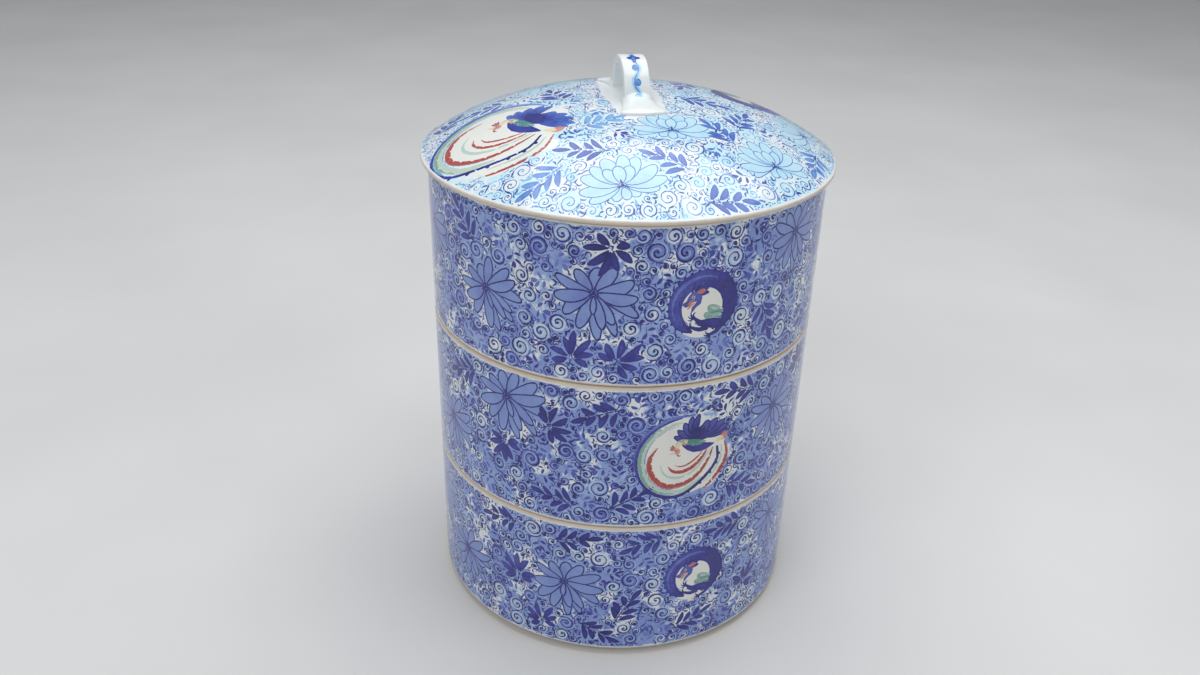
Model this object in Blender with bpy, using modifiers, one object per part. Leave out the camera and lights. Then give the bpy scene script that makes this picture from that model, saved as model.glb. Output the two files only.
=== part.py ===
"""Round porcelain jubako: three nesting boxes, a domed lid and its strap handle.

Units are metres and +Z is up. The origin is the centre of the ring that the
stack stands on. The handle's arch runs front to back along Y.

The three boxes are alike. Each has a wall, a floor and a stepped foot, and the
foot drops into the mouth of the box below until the wall's lower edge rests on
the rim. The lid seats in the top mouth the same way, on a flange. The strap
handle and its two flared pads stand on the dome, cut to its curve.
"""

import math

import bmesh
import bpy
from mathutils import Vector

# Boxes
BODY_RADIUS = 0.0850
WALL_THICKNESS = 0.0050
TIER_PITCH = 0.0680
FLOOR_THICKNESS = 0.0055
FLOOR_COVE_RADIUS = 0.0100
EDGE_ROUND = 0.0012
TIER_NAMES = ("lower_box", "middle_box", "upper_box")

# Stepped foot under each box
FOOT_DEPTH = 0.0035
FOOT_RING_WIDTH = 0.0060
FOOT_RECESS = 0.0012
FOOT_ROUND = 0.0006

# Domed lid
LID_OVERHANG = 0.0029
LID_EDGE_HEIGHT = 0.0017
LID_RISE = 0.0230
LID_CURVE_POWER = 2.5
LID_THICKNESS = 0.0045
LID_EDGE_ROUND = 0.0006
FLANGE_DEPTH = 0.0050
FLANGE_THICKNESS = 0.0040

# Strap handle
HANDLE_SPAN = 0.0330
HANDLE_RISE = 0.0158
HANDLE_ARCH_POWER = 2.2
STRAP_WIDTH = 0.0108
STRAP_THICKNESS = 0.0038
STRAP_EDGE_ROUND = 0.0012

# Flared pads at the strap's feet
PAD_LENGTH = 0.0130
PAD_NECK_WIDTH = 0.0132
PAD_FRONT_WIDTH = 0.0192
PAD_NECK_HEIGHT = 0.0050
PAD_HEIGHT = 0.0022
PAD_EDGE_HEIGHT = 0.0008
PAD_FRONT_BOW = 0.0022

# Clearances
SEAT_GAP = 0.0003
NEST_CLEARANCE = 0.0007

# Facets
TURN_STEPS = 64
DOME_STEPS = 9
ARCH_STEPS = 28
PAD_ROWS = 10
PAD_COLUMNS = 10
MERGE_DISTANCE = 0.00001

# Heights and radii that follow from the sizes above
MOUTH_RADIUS = BODY_RADIUS - WALL_THICKNESS
NEST_RADIUS = MOUTH_RADIUS - NEST_CLEARANCE
LID_RADIUS = BODY_RADIUS + LID_OVERHANG
LID_SEAT_Z = FOOT_DEPTH + TIER_PITCH * len(TIER_NAMES)
DOME_APEX_Z = LID_SEAT_Z + LID_EDGE_HEIGHT + LID_RISE
HANDLE_TOP_Z = DOME_APEX_Z + HANDLE_RISE
STRAP_SINK = 0.0050
SEAT_CUTTER_RADIUS = HANDLE_SPAN / 2 + PAD_LENGTH + PAD_FRONT_WIDTH / 2

WALL_BLUE = (0.33, 0.42, 0.74)
LID_BLUE = (0.52, 0.64, 0.88)
BARE_GLAZE = (0.84, 0.88, 0.90)


def clear_scene():
    """Remove every object that the scene starts with."""
    for scene_object in list(bpy.data.objects):
        bpy.data.objects.remove(scene_object, do_unlink=True)


def new_collection(name):
    """Make a collection under the scene."""
    collection = bpy.data.collections.new(name)
    bpy.context.scene.collection.children.link(collection)
    return collection


def glazed_porcelain(name, colour, roughness):
    """Make a smooth glazed ceramic material."""
    material = bpy.data.materials.new(name)
    material.use_nodes = True
    shader = material.node_tree.nodes["Principled BSDF"]
    shader.inputs["Base Color"].default_value = (*colour, 1.0)
    shader.inputs["Roughness"].default_value = roughness
    shader.inputs["Metallic"].default_value = 0.0
    return material


def arc(centre, radius, start, end, steps):
    """Points (r, z) on an arc between two angles in degrees, both ends included."""
    points = []
    for step in range(steps + 1):
        angle = math.radians(start + (end - start) * step / steps)
        r = centre[0] + radius * math.cos(angle)
        z = centre[1] + radius * math.sin(angle)
        points.append((r, z))
    return points


def turned(name, profile, collection, location_z):
    """Turn a profile of (r, z) points about Z with a Screw modifier."""
    mesh = bpy.data.meshes.new(name)
    vertices = [(r, 0.0, z) for r, z in profile]
    edges = [(index, index + 1) for index in range(len(profile) - 1)]
    mesh.from_pydata(vertices, edges, [])
    turned_object = bpy.data.objects.new(name, mesh)
    turned_object.location.z = location_z
    collection.objects.link(turned_object)
    screw = turned_object.modifiers.new("Turn", "SCREW")
    screw.axis = "Z"
    screw.angle = math.tau
    screw.steps = TURN_STEPS
    screw.render_steps = TURN_STEPS
    screw.use_merge_vertices = True
    screw.merge_threshold = MERGE_DISTANCE
    screw.use_smooth_shade = True
    return turned_object


def box_profile():
    """Profile of one box, from the floor's centre over the rim to the underside's centre.

    z = 0 is the wall's lower edge, which rests on the rim below.
    """
    rim_z = TIER_PITCH - SEAT_GAP
    underside_z = FOOT_RECESS - FOOT_DEPTH
    floor_z = underside_z + FLOOR_THICKNESS
    ring_inner = NEST_RADIUS - FOOT_RING_WIDTH
    cove = (MOUTH_RADIUS - FLOOR_COVE_RADIUS, floor_z + FLOOR_COVE_RADIUS)

    profile = [(0.0, floor_z)]
    profile += arc(cove, FLOOR_COVE_RADIUS, -90, 0, 5)
    profile += arc((MOUTH_RADIUS + EDGE_ROUND, rim_z - EDGE_ROUND), EDGE_ROUND, 180, 90, 2)
    profile += arc((BODY_RADIUS - EDGE_ROUND, rim_z - EDGE_ROUND), EDGE_ROUND, 90, 0, 3)
    profile += arc((BODY_RADIUS - EDGE_ROUND, EDGE_ROUND), EDGE_ROUND, 0, -90, 3)
    profile.append((NEST_RADIUS, 0.0))
    profile += arc((NEST_RADIUS - FOOT_ROUND, FOOT_ROUND - FOOT_DEPTH), FOOT_ROUND, 0, -90, 2)
    profile.append((ring_inner, -FOOT_DEPTH))
    profile.append((ring_inner - FOOT_RECESS, underside_z))
    profile.append((0.0, underside_z))
    return profile


def dome_height(r):
    """Height of the dome's outer surface above the lid's lower edge at a radius."""
    return LID_EDGE_HEIGHT + LID_RISE * (1.0 - (r / LID_RADIUS) ** LID_CURVE_POWER)


def dome_points(outer_radius, offset):
    """Points along the dome from the axis outward, moved up or down by an offset."""
    points = []
    for step in range(DOME_STEPS + 1):
        r = outer_radius * step / DOME_STEPS
        points.append((r, dome_height(r) + offset))
    return points


def lid_profile():
    """Profile of the lid. z = 0 is the flat edge that rests on the top rim."""
    edge_inner = LID_RADIUS - LID_EDGE_ROUND
    half_flange = FLANGE_THICKNESS / 2
    flange_end = (NEST_RADIUS - half_flange, half_flange - FLANGE_DEPTH)
    inside = dome_points(NEST_RADIUS - FLANGE_THICKNESS, -LID_THICKNESS)

    profile = dome_points(edge_inner, 0.0)
    profile.append((LID_RADIUS, LID_EDGE_HEIGHT - LID_EDGE_ROUND / 2))
    profile += arc((edge_inner, LID_EDGE_ROUND), LID_EDGE_ROUND, 0, -90, 2)
    profile.append((NEST_RADIUS, 0.0))
    profile += arc(flange_end, half_flange, 0, -180, 6)
    profile += reversed(inside)
    return profile


def arch_points(half_span, spring_z, top_z):
    """Centre line of the strap in the YZ plane, from the front foot to the rear foot."""
    exponent = 2.0 / HANDLE_ARCH_POWER
    points = []
    for step in range(ARCH_STEPS + 1):
        angle = math.pi * step / ARCH_STEPS
        along = abs(math.cos(angle)) ** exponent
        side = -1.0 if angle < math.pi / 2 else 1.0
        rise = abs(math.sin(angle)) ** exponent
        points.append(Vector((0.0, side * half_span * along, spring_z + (top_z - spring_z) * rise)))
    return points


def poly_curve(name, dimensions, points, cyclic):
    """Make a curve object through points, in the scene's own collection."""
    data = bpy.data.curves.new(name, "CURVE")
    data.dimensions = dimensions
    spline = data.splines.new("POLY")
    spline.points.add(len(points) - 1)
    for spline_point, point in zip(spline.points, points):
        spline_point.co = (*point, 1.0)
    spline.use_cyclic_u = cyclic
    curve_object = bpy.data.objects.new(name, data)
    bpy.context.scene.collection.objects.link(curve_object)
    return curve_object


def section_points(width, thickness):
    """Outline of the strap's section, a rectangle with rounded corners."""
    points = []
    corners = ((1, 1, 0), (-1, 1, 90), (-1, -1, 180), (1, -1, 270))
    for side_x, side_y, start in corners:
        centre_x = side_x * (width / 2 - STRAP_EDGE_ROUND)
        centre_y = side_y * (thickness / 2 - STRAP_EDGE_ROUND)
        corner = arc((centre_x, centre_y), STRAP_EDGE_ROUND, start, start + 90, 2)
        points += [Vector((x, y, 0.0)) for x, y in corner]
    return points


def strap_mesh(name, grow):
    """Sweep the strap's rounded section along the arch; grow widens it all round."""
    outline = section_points(STRAP_WIDTH + 2 * grow, STRAP_THICKNESS + 2 * grow)
    section_object = poly_curve(name + "_section", "2D", outline, True)
    half_span = HANDLE_SPAN / 2 - STRAP_THICKNESS / 2
    spring_z = DOME_APEX_Z - STRAP_SINK
    route = arch_points(half_span, spring_z, HANDLE_TOP_Z - STRAP_THICKNESS / 2)
    path_object = poly_curve(name + "_path", "3D", route, False)
    path_object.data.twist_mode = "Z_UP"
    path_object.data.bevel_mode = "OBJECT"
    path_object.data.bevel_object = section_object
    path_object.data.use_fill_caps = True
    bpy.context.view_layer.update()

    evaluated = path_object.evaluated_get(bpy.context.evaluated_depsgraph_get())
    mesh = bpy.data.meshes.new_from_object(evaluated)
    mesh.name = name
    bpy.data.objects.remove(path_object, do_unlink=True)
    bpy.data.objects.remove(section_object, do_unlink=True)

    welded = bmesh.new()
    welded.from_mesh(mesh)
    bmesh.ops.remove_doubles(welded, verts=welded.verts, dist=MERGE_DISTANCE)
    bmesh.ops.recalc_face_normals(welded, faces=welded.faces)
    welded.to_mesh(mesh)
    welded.free()
    return mesh


def pad_mesh(name, side):
    """Model one flared pad: side is -1 in front of the strap and +1 behind it.

    A grid is laid over the pad's outline. Its crest falls in a hollow curve from
    the strap to the front edge and rounds off to both flanks.
    """
    grid = bmesh.new()
    bmesh.ops.create_grid(grid, x_segments=PAD_COLUMNS, y_segments=PAD_ROWS, size=1.0)
    neck_u = HANDLE_SPAN / 2 - STRAP_THICKNESS / 2
    front_u = HANDLE_SPAN / 2 + PAD_LENGTH
    for vertex in grid.verts:
        across = vertex.co.x
        along = (vertex.co.y + 1.0) / 2
        half_width = (PAD_NECK_WIDTH + (PAD_FRONT_WIDTH - PAD_NECK_WIDTH) * along ** 1.8) / 2
        reach = front_u - PAD_FRONT_BOW * across ** 2
        u = neck_u + (reach - neck_u) * along
        x = half_width * across
        neck_fall = (PAD_NECK_HEIGHT - PAD_HEIGHT) * (1.0 - along) ** 2.5
        crest = PAD_HEIGHT + neck_fall - PAD_EDGE_HEIGHT
        rounding = (1.0 - abs(across) ** 3) * (1.0 - along ** 5)
        top = PAD_EDGE_HEIGHT + crest * rounding
        dome_z = LID_SEAT_Z + dome_height(math.hypot(x, u))
        vertex.co = (x, side * u, dome_z + SEAT_GAP + top)
    base_z = DOME_APEX_Z - LID_RISE / 2
    extruded = bmesh.ops.extrude_face_region(grid, geom=grid.faces[:])
    for element in extruded["geom"]:
        if isinstance(element, bmesh.types.BMVert):
            element.co.z = base_z
    bmesh.ops.recalc_face_normals(grid, faces=grid.faces)
    mesh = bpy.data.meshes.new(name)
    grid.to_mesh(mesh)
    grid.free()
    return mesh


def seat_cutter(collection):
    """A turned cutter under the handle: the dome's outer surface raised by the seat gap."""
    profile = dome_points(SEAT_CUTTER_RADIUS, SEAT_GAP)
    bottom_z = dome_height(0.0) - LID_RISE
    profile.append((SEAT_CUTTER_RADIUS, bottom_z))
    profile.append((0.0, bottom_z))
    return turned("dome_seat_cutter", profile, collection, LID_SEAT_Z)


def hide_cutter(cutter):
    """Show a cutter as wire and keep it out of the render."""
    cutter.display_type = "WIRE"
    cutter.hide_render = True


def cut(target, cutter):
    """Take a cutter away from an object with an exact Boolean."""
    boolean = target.modifiers.new("Cut by " + cutter.name, "BOOLEAN")
    boolean.operation = "DIFFERENCE"
    boolean.solver = "EXACT"
    boolean.object = cutter


def add_mesh_object(name, mesh, collection):
    """Link a mesh as a new object, with its round faces shaded smooth."""
    mesh.shade_smooth()
    mesh.set_sharp_from_angle(angle=math.radians(35))
    mesh_object = bpy.data.objects.new(name, mesh)
    collection.objects.link(mesh_object)
    return mesh_object


def build_boxes(collection):
    """Stack the three boxes, each one pitch above the last."""
    glaze = glazed_porcelain("blue_and_white_porcelain", WALL_BLUE, 0.18)
    for level, name in enumerate(TIER_NAMES):
        box = turned(name, box_profile(), collection, FOOT_DEPTH + level * TIER_PITCH)
        box.data.materials.append(glaze)


def build_lid(collection):
    """Seat the lid on the top rim."""
    lid = turned("lid", lid_profile(), collection, LID_SEAT_Z)
    lid.data.materials.append(glazed_porcelain("pale_blue_and_white_porcelain", LID_BLUE, 0.15))


def build_handle(collection, cutters):
    """Stand the strap and its two pads on the dome."""
    glaze = glazed_porcelain("white_porcelain", BARE_GLAZE, 0.15)
    dome_cutter = seat_cutter(cutters)
    hide_cutter(dome_cutter)
    strap_cutter = add_mesh_object("strap_clearance_cutter", strap_mesh("strap_clearance", SEAT_GAP), cutters)
    hide_cutter(strap_cutter)

    strap = add_mesh_object("handle_strap", strap_mesh("handle_strap", 0.0), collection)
    strap.data.materials.append(glaze)
    cut(strap, dome_cutter)

    for name, side in (("handle_pad_front", -1), ("handle_pad_rear", 1)):
        pad = add_mesh_object(name, pad_mesh(name, side), collection)
        pad.data.materials.append(glaze)
        cut(pad, dome_cutter)
        cut(pad, strap_cutter)


def main():
    """Build the jubako."""
    clear_scene()
    parts = new_collection("ceramic_jubako")
    cutters = new_collection("cutters")
    build_boxes(parts)
    build_lid(parts)
    build_handle(parts, cutters)


main()
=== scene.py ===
"""The looks of a round three-tier porcelain jubako, painted in cobalt blue under its glaze.

Lengths are metres, except where brushwork is drawn: that is laid out flat, in millimetres,
with a point written as a complex number, and is then wrapped round a wall or over the dome.
On a wall x runs round the box from the front and y runs up; on the lid the sheet is seen
from above. Each stroke's outline becomes edges of the mesh, so a stroke keeps its shape at
any distance, and the materials soften its edge and pool its pigment.
"""

import cmath
import math
import random
from collections import defaultdict, namedtuple

import bmesh
import bpy
import numpy as np
from mathutils import Matrix, Vector
from mathutils.geometry import delaunay_2d_cdt


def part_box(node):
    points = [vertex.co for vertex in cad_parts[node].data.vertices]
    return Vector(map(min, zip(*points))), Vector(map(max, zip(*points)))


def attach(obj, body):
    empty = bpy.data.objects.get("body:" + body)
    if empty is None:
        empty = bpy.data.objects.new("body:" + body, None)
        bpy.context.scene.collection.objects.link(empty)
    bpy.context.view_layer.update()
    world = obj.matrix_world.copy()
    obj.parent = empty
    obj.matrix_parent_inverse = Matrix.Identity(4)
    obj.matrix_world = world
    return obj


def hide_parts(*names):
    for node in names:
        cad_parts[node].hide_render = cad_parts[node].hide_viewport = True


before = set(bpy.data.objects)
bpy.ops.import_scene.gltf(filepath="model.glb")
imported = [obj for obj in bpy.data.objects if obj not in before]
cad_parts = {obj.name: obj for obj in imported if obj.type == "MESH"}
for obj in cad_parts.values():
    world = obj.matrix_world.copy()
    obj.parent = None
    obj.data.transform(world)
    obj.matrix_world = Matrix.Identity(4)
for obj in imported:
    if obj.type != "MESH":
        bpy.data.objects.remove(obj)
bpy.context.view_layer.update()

MM = 0.001

# Boxes and lid, as the frame has them
BODY_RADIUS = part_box("lower_box")[1][0]
LID_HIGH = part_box("lid")[1]
LID_RADIUS = LID_HIGH[0]
STRAP_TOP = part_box("handle_strap")[1][2]
WALL = 0.0050
FLOOR = 0.0055
COVE = 0.0100
EDGE_ROUND = 0.0012
FOOT_DEPTH = 0.0035
FOOT_RING = 0.0060
FOOT_RECESS = 0.0012
FOOT_ROUND = 0.0006
NEST_RADIUS = BODY_RADIUS - WALL - 0.0007
LID_RISE = 0.0230
LID_EDGE = 0.0017
LID_CURVE = 2.5
LID_THICKNESS = 0.0045
LID_EDGE_ROUND = 0.0006
FLANGE_DEPTH = 0.0050
FLANGE_THICKNESS = 0.0040
FLANGE_BREAK = 0.0004
DOME_APEX = LID_HIGH[2]
LID_SEAT = DOME_APEX - LID_RISE - LID_EDGE

# The camera, solved from the seams' ellipses, as it stands in front of the handle's arch
CAMERA_TURN = -11.0
CAMERA_PLACE = Vector((-0.1116, -5.0346, 3.9850)) * BODY_RADIUS + Vector((0.0, 0.0, FOOT_DEPTH))
CAMERA_PITCH = 27.826
CAMERA_ROLL = 1.664
CAMERA_LENS = 30.86

# How close counts as one place, on a surface or on the axis, and what is welded
WELD_DISTANCE = 4e-6
SAME_PLACE = 2e-5
ON_SURFACE = 1e-5
ON_AXIS = 1e-4

# How the painted surfaces are cut, with lengths in millimetres, and their share of the map
COLUMNS = 264
STRIPS = 3
GRID_STEP = 2.2
SIDE_BORDER = 0.1
TOP_BORDER = 0.3
LEAST_AREA = 0.02
PAINTED_SHARE = 0.80

# How the plain shells are cut
CAP_MARGIN = 0.002
TALL_FACE = 0.01
UNDERSIDE_STEPS = 24


# Points and forms

Form = namedtuple("Form", "outline spine")


def turn(degrees):
    """A complex number that turns a point about the origin."""
    return cmath.rect(1.0, math.radians(degrees))


def clamp(value):
    """A value held between 0 and 1."""
    return min(max(value, 0.0), 1.0)


def doubled_area(outline):
    """Twice an outline's area, positive where it runs anticlockwise."""
    following = outline[1:] + outline[:1]
    return sum((here.conjugate() * there).imag for here, there in zip(outline, following))


def disc(centre, radius, steps=12):
    """A round dab."""
    return Form([centre + radius * turn(360.0 * step / steps) for step in range(steps)], [centre])


def ribbon(points, widths):
    """A stroke that follows points with a width at each."""
    left = []
    right = []
    last = len(points) - 1
    for index, (point, width) in enumerate(zip(points, widths)):
        run = points[min(index + 1, last)] - points[max(index - 1, 0)]
        side = run / (abs(run) or 1.0) * 1j * width / 2
        left.append(point + side)
        right.append(point - side)
    return Form(left + right[::-1], list(points[1:-1]))


def blade(base, tip, width, bow=0.0, fullness=1.2, point=0.62, steps=7):
    """A petal, leaf or feather. bow bends it sideways, as a share of its length.

    fullness over 1 moves its widest place towards the tip, and a low point blunts its ends.
    """
    reach = tip - base
    sideways = reach / abs(reach) * 1j
    left = []
    right = []
    spine = []
    for step in range(1, steps):
        share = 0.5 - 0.5 * math.cos(math.pi * step / steps)
        half = width / 2 * math.sin(math.pi * share ** fullness) ** point
        middle = base + reach * share + reach * 1j * bow * 4 * share * (1 - share)
        left.append(middle + sideways * half)
        right.append(middle - sideways * half)
        spine.append(middle)
    return Form([base] + left + [tip] + right[::-1], spine)


def smooth_route(points, steps=3):
    """A smooth route through given points."""
    ends = [2 * points[0] - points[1]] + list(points) + [2 * points[-1] - points[-2]]
    route = []
    for index in range(1, len(ends) - 2):
        before, here, there, after = ends[index - 1:index + 3]
        for step in range(steps):
            t = step / steps
            bend = 2 * before - 5 * here + 4 * there - after
            twist = 3 * here - before - 3 * there + after
            route.append(0.5 * (2 * here + (there - before) * t + bend * t ** 2 + twist * t ** 3))
    route.append(points[-1])
    return route


def patch(*corners):
    """A dab with a smooth outline through a few corners."""
    return Form(smooth_route([*corners, corners[0]])[:-1], [])


def spread(values, count):
    """A few values spread evenly over a count of places."""
    found = []
    for index in range(count):
        at = index / (count - 1) * (len(values) - 1)
        low = min(int(at), len(values) - 2)
        found.append(values[low] + (values[low + 1] - values[low]) * (at - low))
    return found


def cut_outline(outline, point, inward):
    """The part of an outline on the inward side of a line through a point."""
    depths = [((corner - point) * inward.conjugate()).real for corner in outline]
    if min(depths) >= 0.0:
        return outline
    kept = []
    following = zip(outline[1:] + outline[:1], depths[1:] + depths[:1])
    for here, depth, (there, next_depth) in zip(outline, depths, following):
        if depth >= 0.0:
            kept.append(here)
        if (depth >= 0.0) != (next_depth >= 0.0):
            kept.append(here + (there - here) * depth / (depth - next_depth))
    return kept


# Sheets of brushwork

Pigment = namedtuple("Pigment", "cobalt enamel cover")
Fade = namedtuple("Fade", "start end cobalt")
Coil = namedtuple("Coil", "centre heading sense radius turns line")
Shape = namedtuple("Shape", "form kind pigment fade coil")

DAB = 1
PETAL = 2
CURL = 3
COMMA = 4
OPEN_GROUND = -1.0


def cobalt(strength):
    """Blue under the glaze, from a faint wash near 0 to a full line near 1."""
    return Pigment(strength, (0.0, 0.0, 0.0), 0.0)


def enamel(colour, cover):
    """Coloured enamel over the glaze."""
    return Pigment(0.0, colour, cover)


LINE = cobalt(0.92)
RED = enamel((0.36, 0.030, 0.012), 1.0)
ROSE = enamel((0.56, 0.17, 0.11), 0.9)
GREEN = enamel((0.075, 0.26, 0.19), 0.85)
PALE_GREEN = enamel((0.30, 0.46, 0.35), 0.7)
YELLOW = enamel((0.66, 0.50, 0.20), 0.65)
AMBER = enamel((0.55, 0.19, 0.04), 0.9)
RUST = enamel((0.10, 0.035, 0.10), 0.55)
CREAM = enamel((0.72, 0.66, 0.50), 0.28)


class Sheet:
    """Shapes in the order that they are painted, and the round places that curls keep off."""

    def __init__(self):
        self.shapes = []
        self.guards = []

    def lay(self, form, pigment, kind=DAB, fade=None, coil=None):
        area = doubled_area(form.outline)
        if abs(area) < LEAST_AREA:
            return
        if area < 0.0:
            form = Form(form.outline[::-1], form.spine)
        self.shapes.append(Shape(form, kind, pigment, fade, coil))


class Brush:
    """Draws on a sheet with a motif's own axes: moved, turned and scaled to its place."""

    def __init__(self, sheet, place, degrees=0.0, scale=1.0):
        self.sheet = sheet
        self.place = place
        self.heading = turn(degrees) * scale
        self.scale = scale

    def put(self, point):
        return self.place + point * self.heading

    def fill(self, form, pigment, kind=DAB, fade=None):
        placed = Form(*([self.put(point) for point in points] for points in form))
        if fade:
            fade = Fade(self.put(fade.start), self.put(fade.end), fade.cobalt)
        self.sheet.lay(placed, pigment, kind, fade)

    def stroke(self, points, widths, pigment, steps=3, fade=None):
        """Paint a smooth stroke through a few points, and give its route and widths back."""
        route = smooth_route(points, steps)
        widths = spread(widths, len(route))
        self.fill(ribbon(route, widths), pigment, DAB, fade)
        return route, widths

    def nick(self, route, widths, side, radius, pigment, first=3):
        """Bite small dabs out of a stroke's side, or set them on it."""
        for index in range(first, len(route) - 3, 2):
            run = route[index + 1] - route[index - 1]
            across = run / abs(run) * 1j * side
            self.fill(disc(route[index] + across * widths[index] / 2, radius, 7), pigment)

    def nicked_stroke(self, points, widths, pigment, radius, bite, first=3):
        """Paint a stroke with small dabs bitten out of the side inside its curve."""
        route, widths = self.stroke(points, widths, pigment)
        self.nick(route, widths, -1, radius, bite, first)

    def guard(self, point, radius):
        """Keep curls off a round place."""
        self.sheet.guards.append((self.put(point), radius * self.scale))

    def guard_blade(self, base, tip, width):
        for share in (0.3, 0.55, 0.8):
            self.guard(base + (tip - base) * share, width * 0.5)
        self.guard(tip, width * 0.1)


# Motifs

STAR_PETALS = (
    (84, 10.6, 6.2), (128, 11.8, 5.2), (52, 14.0, 5.6), (272, 19.0, 4.8), (298, 20.0, 4.6),
    (-30, 19.4, 5.6), (250, 17.6, 5.4), (220, 16.4, 5.8), (156, 15.6, 5.0), (189, 15.2, 5.9),
    (20, 16.6, 5.9), (-6, 18.0, 5.6), (303, 16.0, 4.6), (284, 16.2, 4.6), (268, 9.4, 3.2),
)
LOTUS_PETALS = (
    (230, 7.8, 4.4), (310, 7.8, 4.4), (270, 6.6, 4.4), (197, 14.4, 5.0), (-17, 14.4, 5.0),
    (176, 17.4, 5.4), (4, 17.0, 5.4), (152, 16.8, 5.9), (29, 16.4, 5.9), (130, 15.8, 6.2),
    (52, 16.4, 6.2), (106, 15.6, 6.2), (78, 15.4, 6.0), (122, 10.4, 5.2), (60, 10.6, 5.2),
    (92, 9.4, 5.2),
)


def flower(brush, petals, depth, rng):
    """An open flower: blunt petals round a dark eye, the ones laid last in front."""
    brush.fill(disc(0j, 5.2, 14), cobalt(1.6 * depth))
    for angle, length, width in petals:
        angle += rng.uniform(-4, 4)
        length *= rng.uniform(0.93, 1.05)
        width *= rng.uniform(0.92, 1.08)
        across = turn(angle)
        droop = -0.06 * across.real * (1 if across.imag > -0.3 else -1)
        base = 0.9 * across
        tip = length * across
        shape = blade(base, tip, width, droop + rng.uniform(-0.03, 0.03), 1.2, 0.42, 9)
        brush.fill(shape, cobalt(1.25 * depth * rng.uniform(0.92, 1.08)), PETAL, Fade(base, tip, depth))
        brush.guard_blade(base, tip, width)
    for angle in (80, 205, 330):
        brush.fill(blade(0j, 3.0 * turn(angle + rng.uniform(-15, 15)), 0.9), LINE)
    brush.fill(disc(0j, 0.85, 8), LINE)
    brush.guard(0j, 5.0)


def star_flower(brush, rng):
    """The walls' flower, in a middling blue."""
    flower(brush, STAR_PETALS, 0.33, rng)


def lotus(brush, rng):
    """The lid's flower, in a pale blue."""
    flower(brush, LOTUS_PETALS, 0.15, rng)


def leaf(brush, base, tip, width, bow, depth):
    """One dark, blunt leaf that pales towards its tip, where the brush lifted."""
    brush.fill(blade(base, tip, width, bow, 1.1, 0.58), cobalt(depth), DAB, Fade(base, tip, depth - 0.12))
    brush.guard_blade(base, tip, width)


def sprig(brush, rng, depths=(0.80, 0.95), pairs=3):
    """Leaves in pairs along a short stem, like a feather, with one at its end."""
    depth = rng.uniform(*depths)
    bend = rng.uniform(-0.9, 0.9)
    stem = [-8 + 0j, -3 + 1j * bend, 2 + 1.3j * bend, 6 + 0.8j * bend]
    route = brush.stroke(stem, (0.7, 0.5, 0.35), cobalt(depth))[0]
    for index in range(pairs):
        root = route[1 + round(index * 7 / pairs)]
        for side in (1, -1):
            spread_angle = 50 - 7 * index + rng.uniform(-7, 7)
            length = (9.2 - 0.7 * index) * rng.uniform(0.84, 1.08)
            start = root + 0.9 * turn(side * spread_angle)
            end = root + length * turn(side * spread_angle)
            leaf(brush, start, end, 2.8 * rng.uniform(0.88, 1.12), -side * 0.08, depth)
    tip = route[-1] + 8.0 * turn(rng.uniform(-9, 9))
    leaf(brush, route[-1] + 0.2, tip, 2.8, rng.uniform(-0.06, 0.06), depth)


def pale_sprig(brush, rng):
    """A sprig as the lid has it, in anything from a thin to a full blue."""
    sprig(brush, rng, (0.46, 0.86))


TWIG_LEAVES = ((-1.6, 64, 3.6), (-0.9, -58, 3.9), (0.6, 44, 3.9), (1.0, -30, 3.6), (1.2, 6, 3.4))
NEAR_WING = (
    (-5.4 + 10.6j, 3.4), (-4.0 + 13.6j, 3.4), (-1.2 + 16.8j, 3.6), (2.0 + 19.4j, 3.6), (5.2 + 20.0j, 3.4),
)
FAR_WING = (
    (19.4 + 9.2j, 3.4), (19.8 + 12.0j, 3.8), (17.6 + 14.6j, 4.2), (13.8 + 16.2j, 4.4), (9.6 + 16.4j, 4.0),
)
LEAF_FAN = ((-108, 8.0), (-70, 9.8), (-34, 11.0), (0, 11.4), (34, 10.6), (72, 9.4), (112, 7.6))


def leaf_burst(brush, rng):
    """Leaves fanned out from the end of a short stem, each by itself."""
    depth = rng.uniform(0.82, 0.97)
    brush.stroke([-7.0 + 1.6j, -3.2 + 0.2j, 1.0 + 0j], (0.25, 0.6, 0.5), cobalt(depth))
    for angle, length in LEAF_FAN:
        heading = turn(angle + rng.uniform(-9, 9))
        tip = length * rng.uniform(0.85, 1.1) * heading
        leaf(brush, 1.3 * heading, tip, rng.uniform(2.9, 3.5), rng.uniform(-0.1, 0.1), depth)


def twig(brush, rng):
    """A few small leaves on a thread of stem, as they stand between the curls."""
    depth = rng.uniform(0.46, 0.86)
    brush.stroke([-3.6 + 0.8j, -1.4 - 0.2j, 1.0 + 0j], (0.2, 0.42, 0.3), cobalt(depth))
    for root, angle, length in TWIG_LEAVES:
        heading = turn(angle + rng.uniform(-14, 14))
        width = rng.uniform(1.35, 1.75)
        shape = blade(root + 0.3 * heading, root + length * heading, width, 0.08, 1.1, 0.6, 5)
        brush.fill(shape, cobalt(depth))


def claw(brush, root, ankle):
    """A short leg with hooked toes."""
    ahead = (ankle - root) / abs(ankle - root)
    bend = root + (ankle - root) * 0.5 + (ankle - root) * 0.15j
    brush.stroke([root, bend, ankle], (2.8, 2.0, 1.4), cobalt(0.82), 2)
    for angle in (-64, -22, 20, 60):
        toe = ankle + 1.7 * ahead * turn(angle)
        hook = toe + 1.3 * ahead * turn(angle - 60)
        brush.stroke([ankle, toe, hook], (1.0, 0.8, 0.15), cobalt(0.9), 2)


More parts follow.
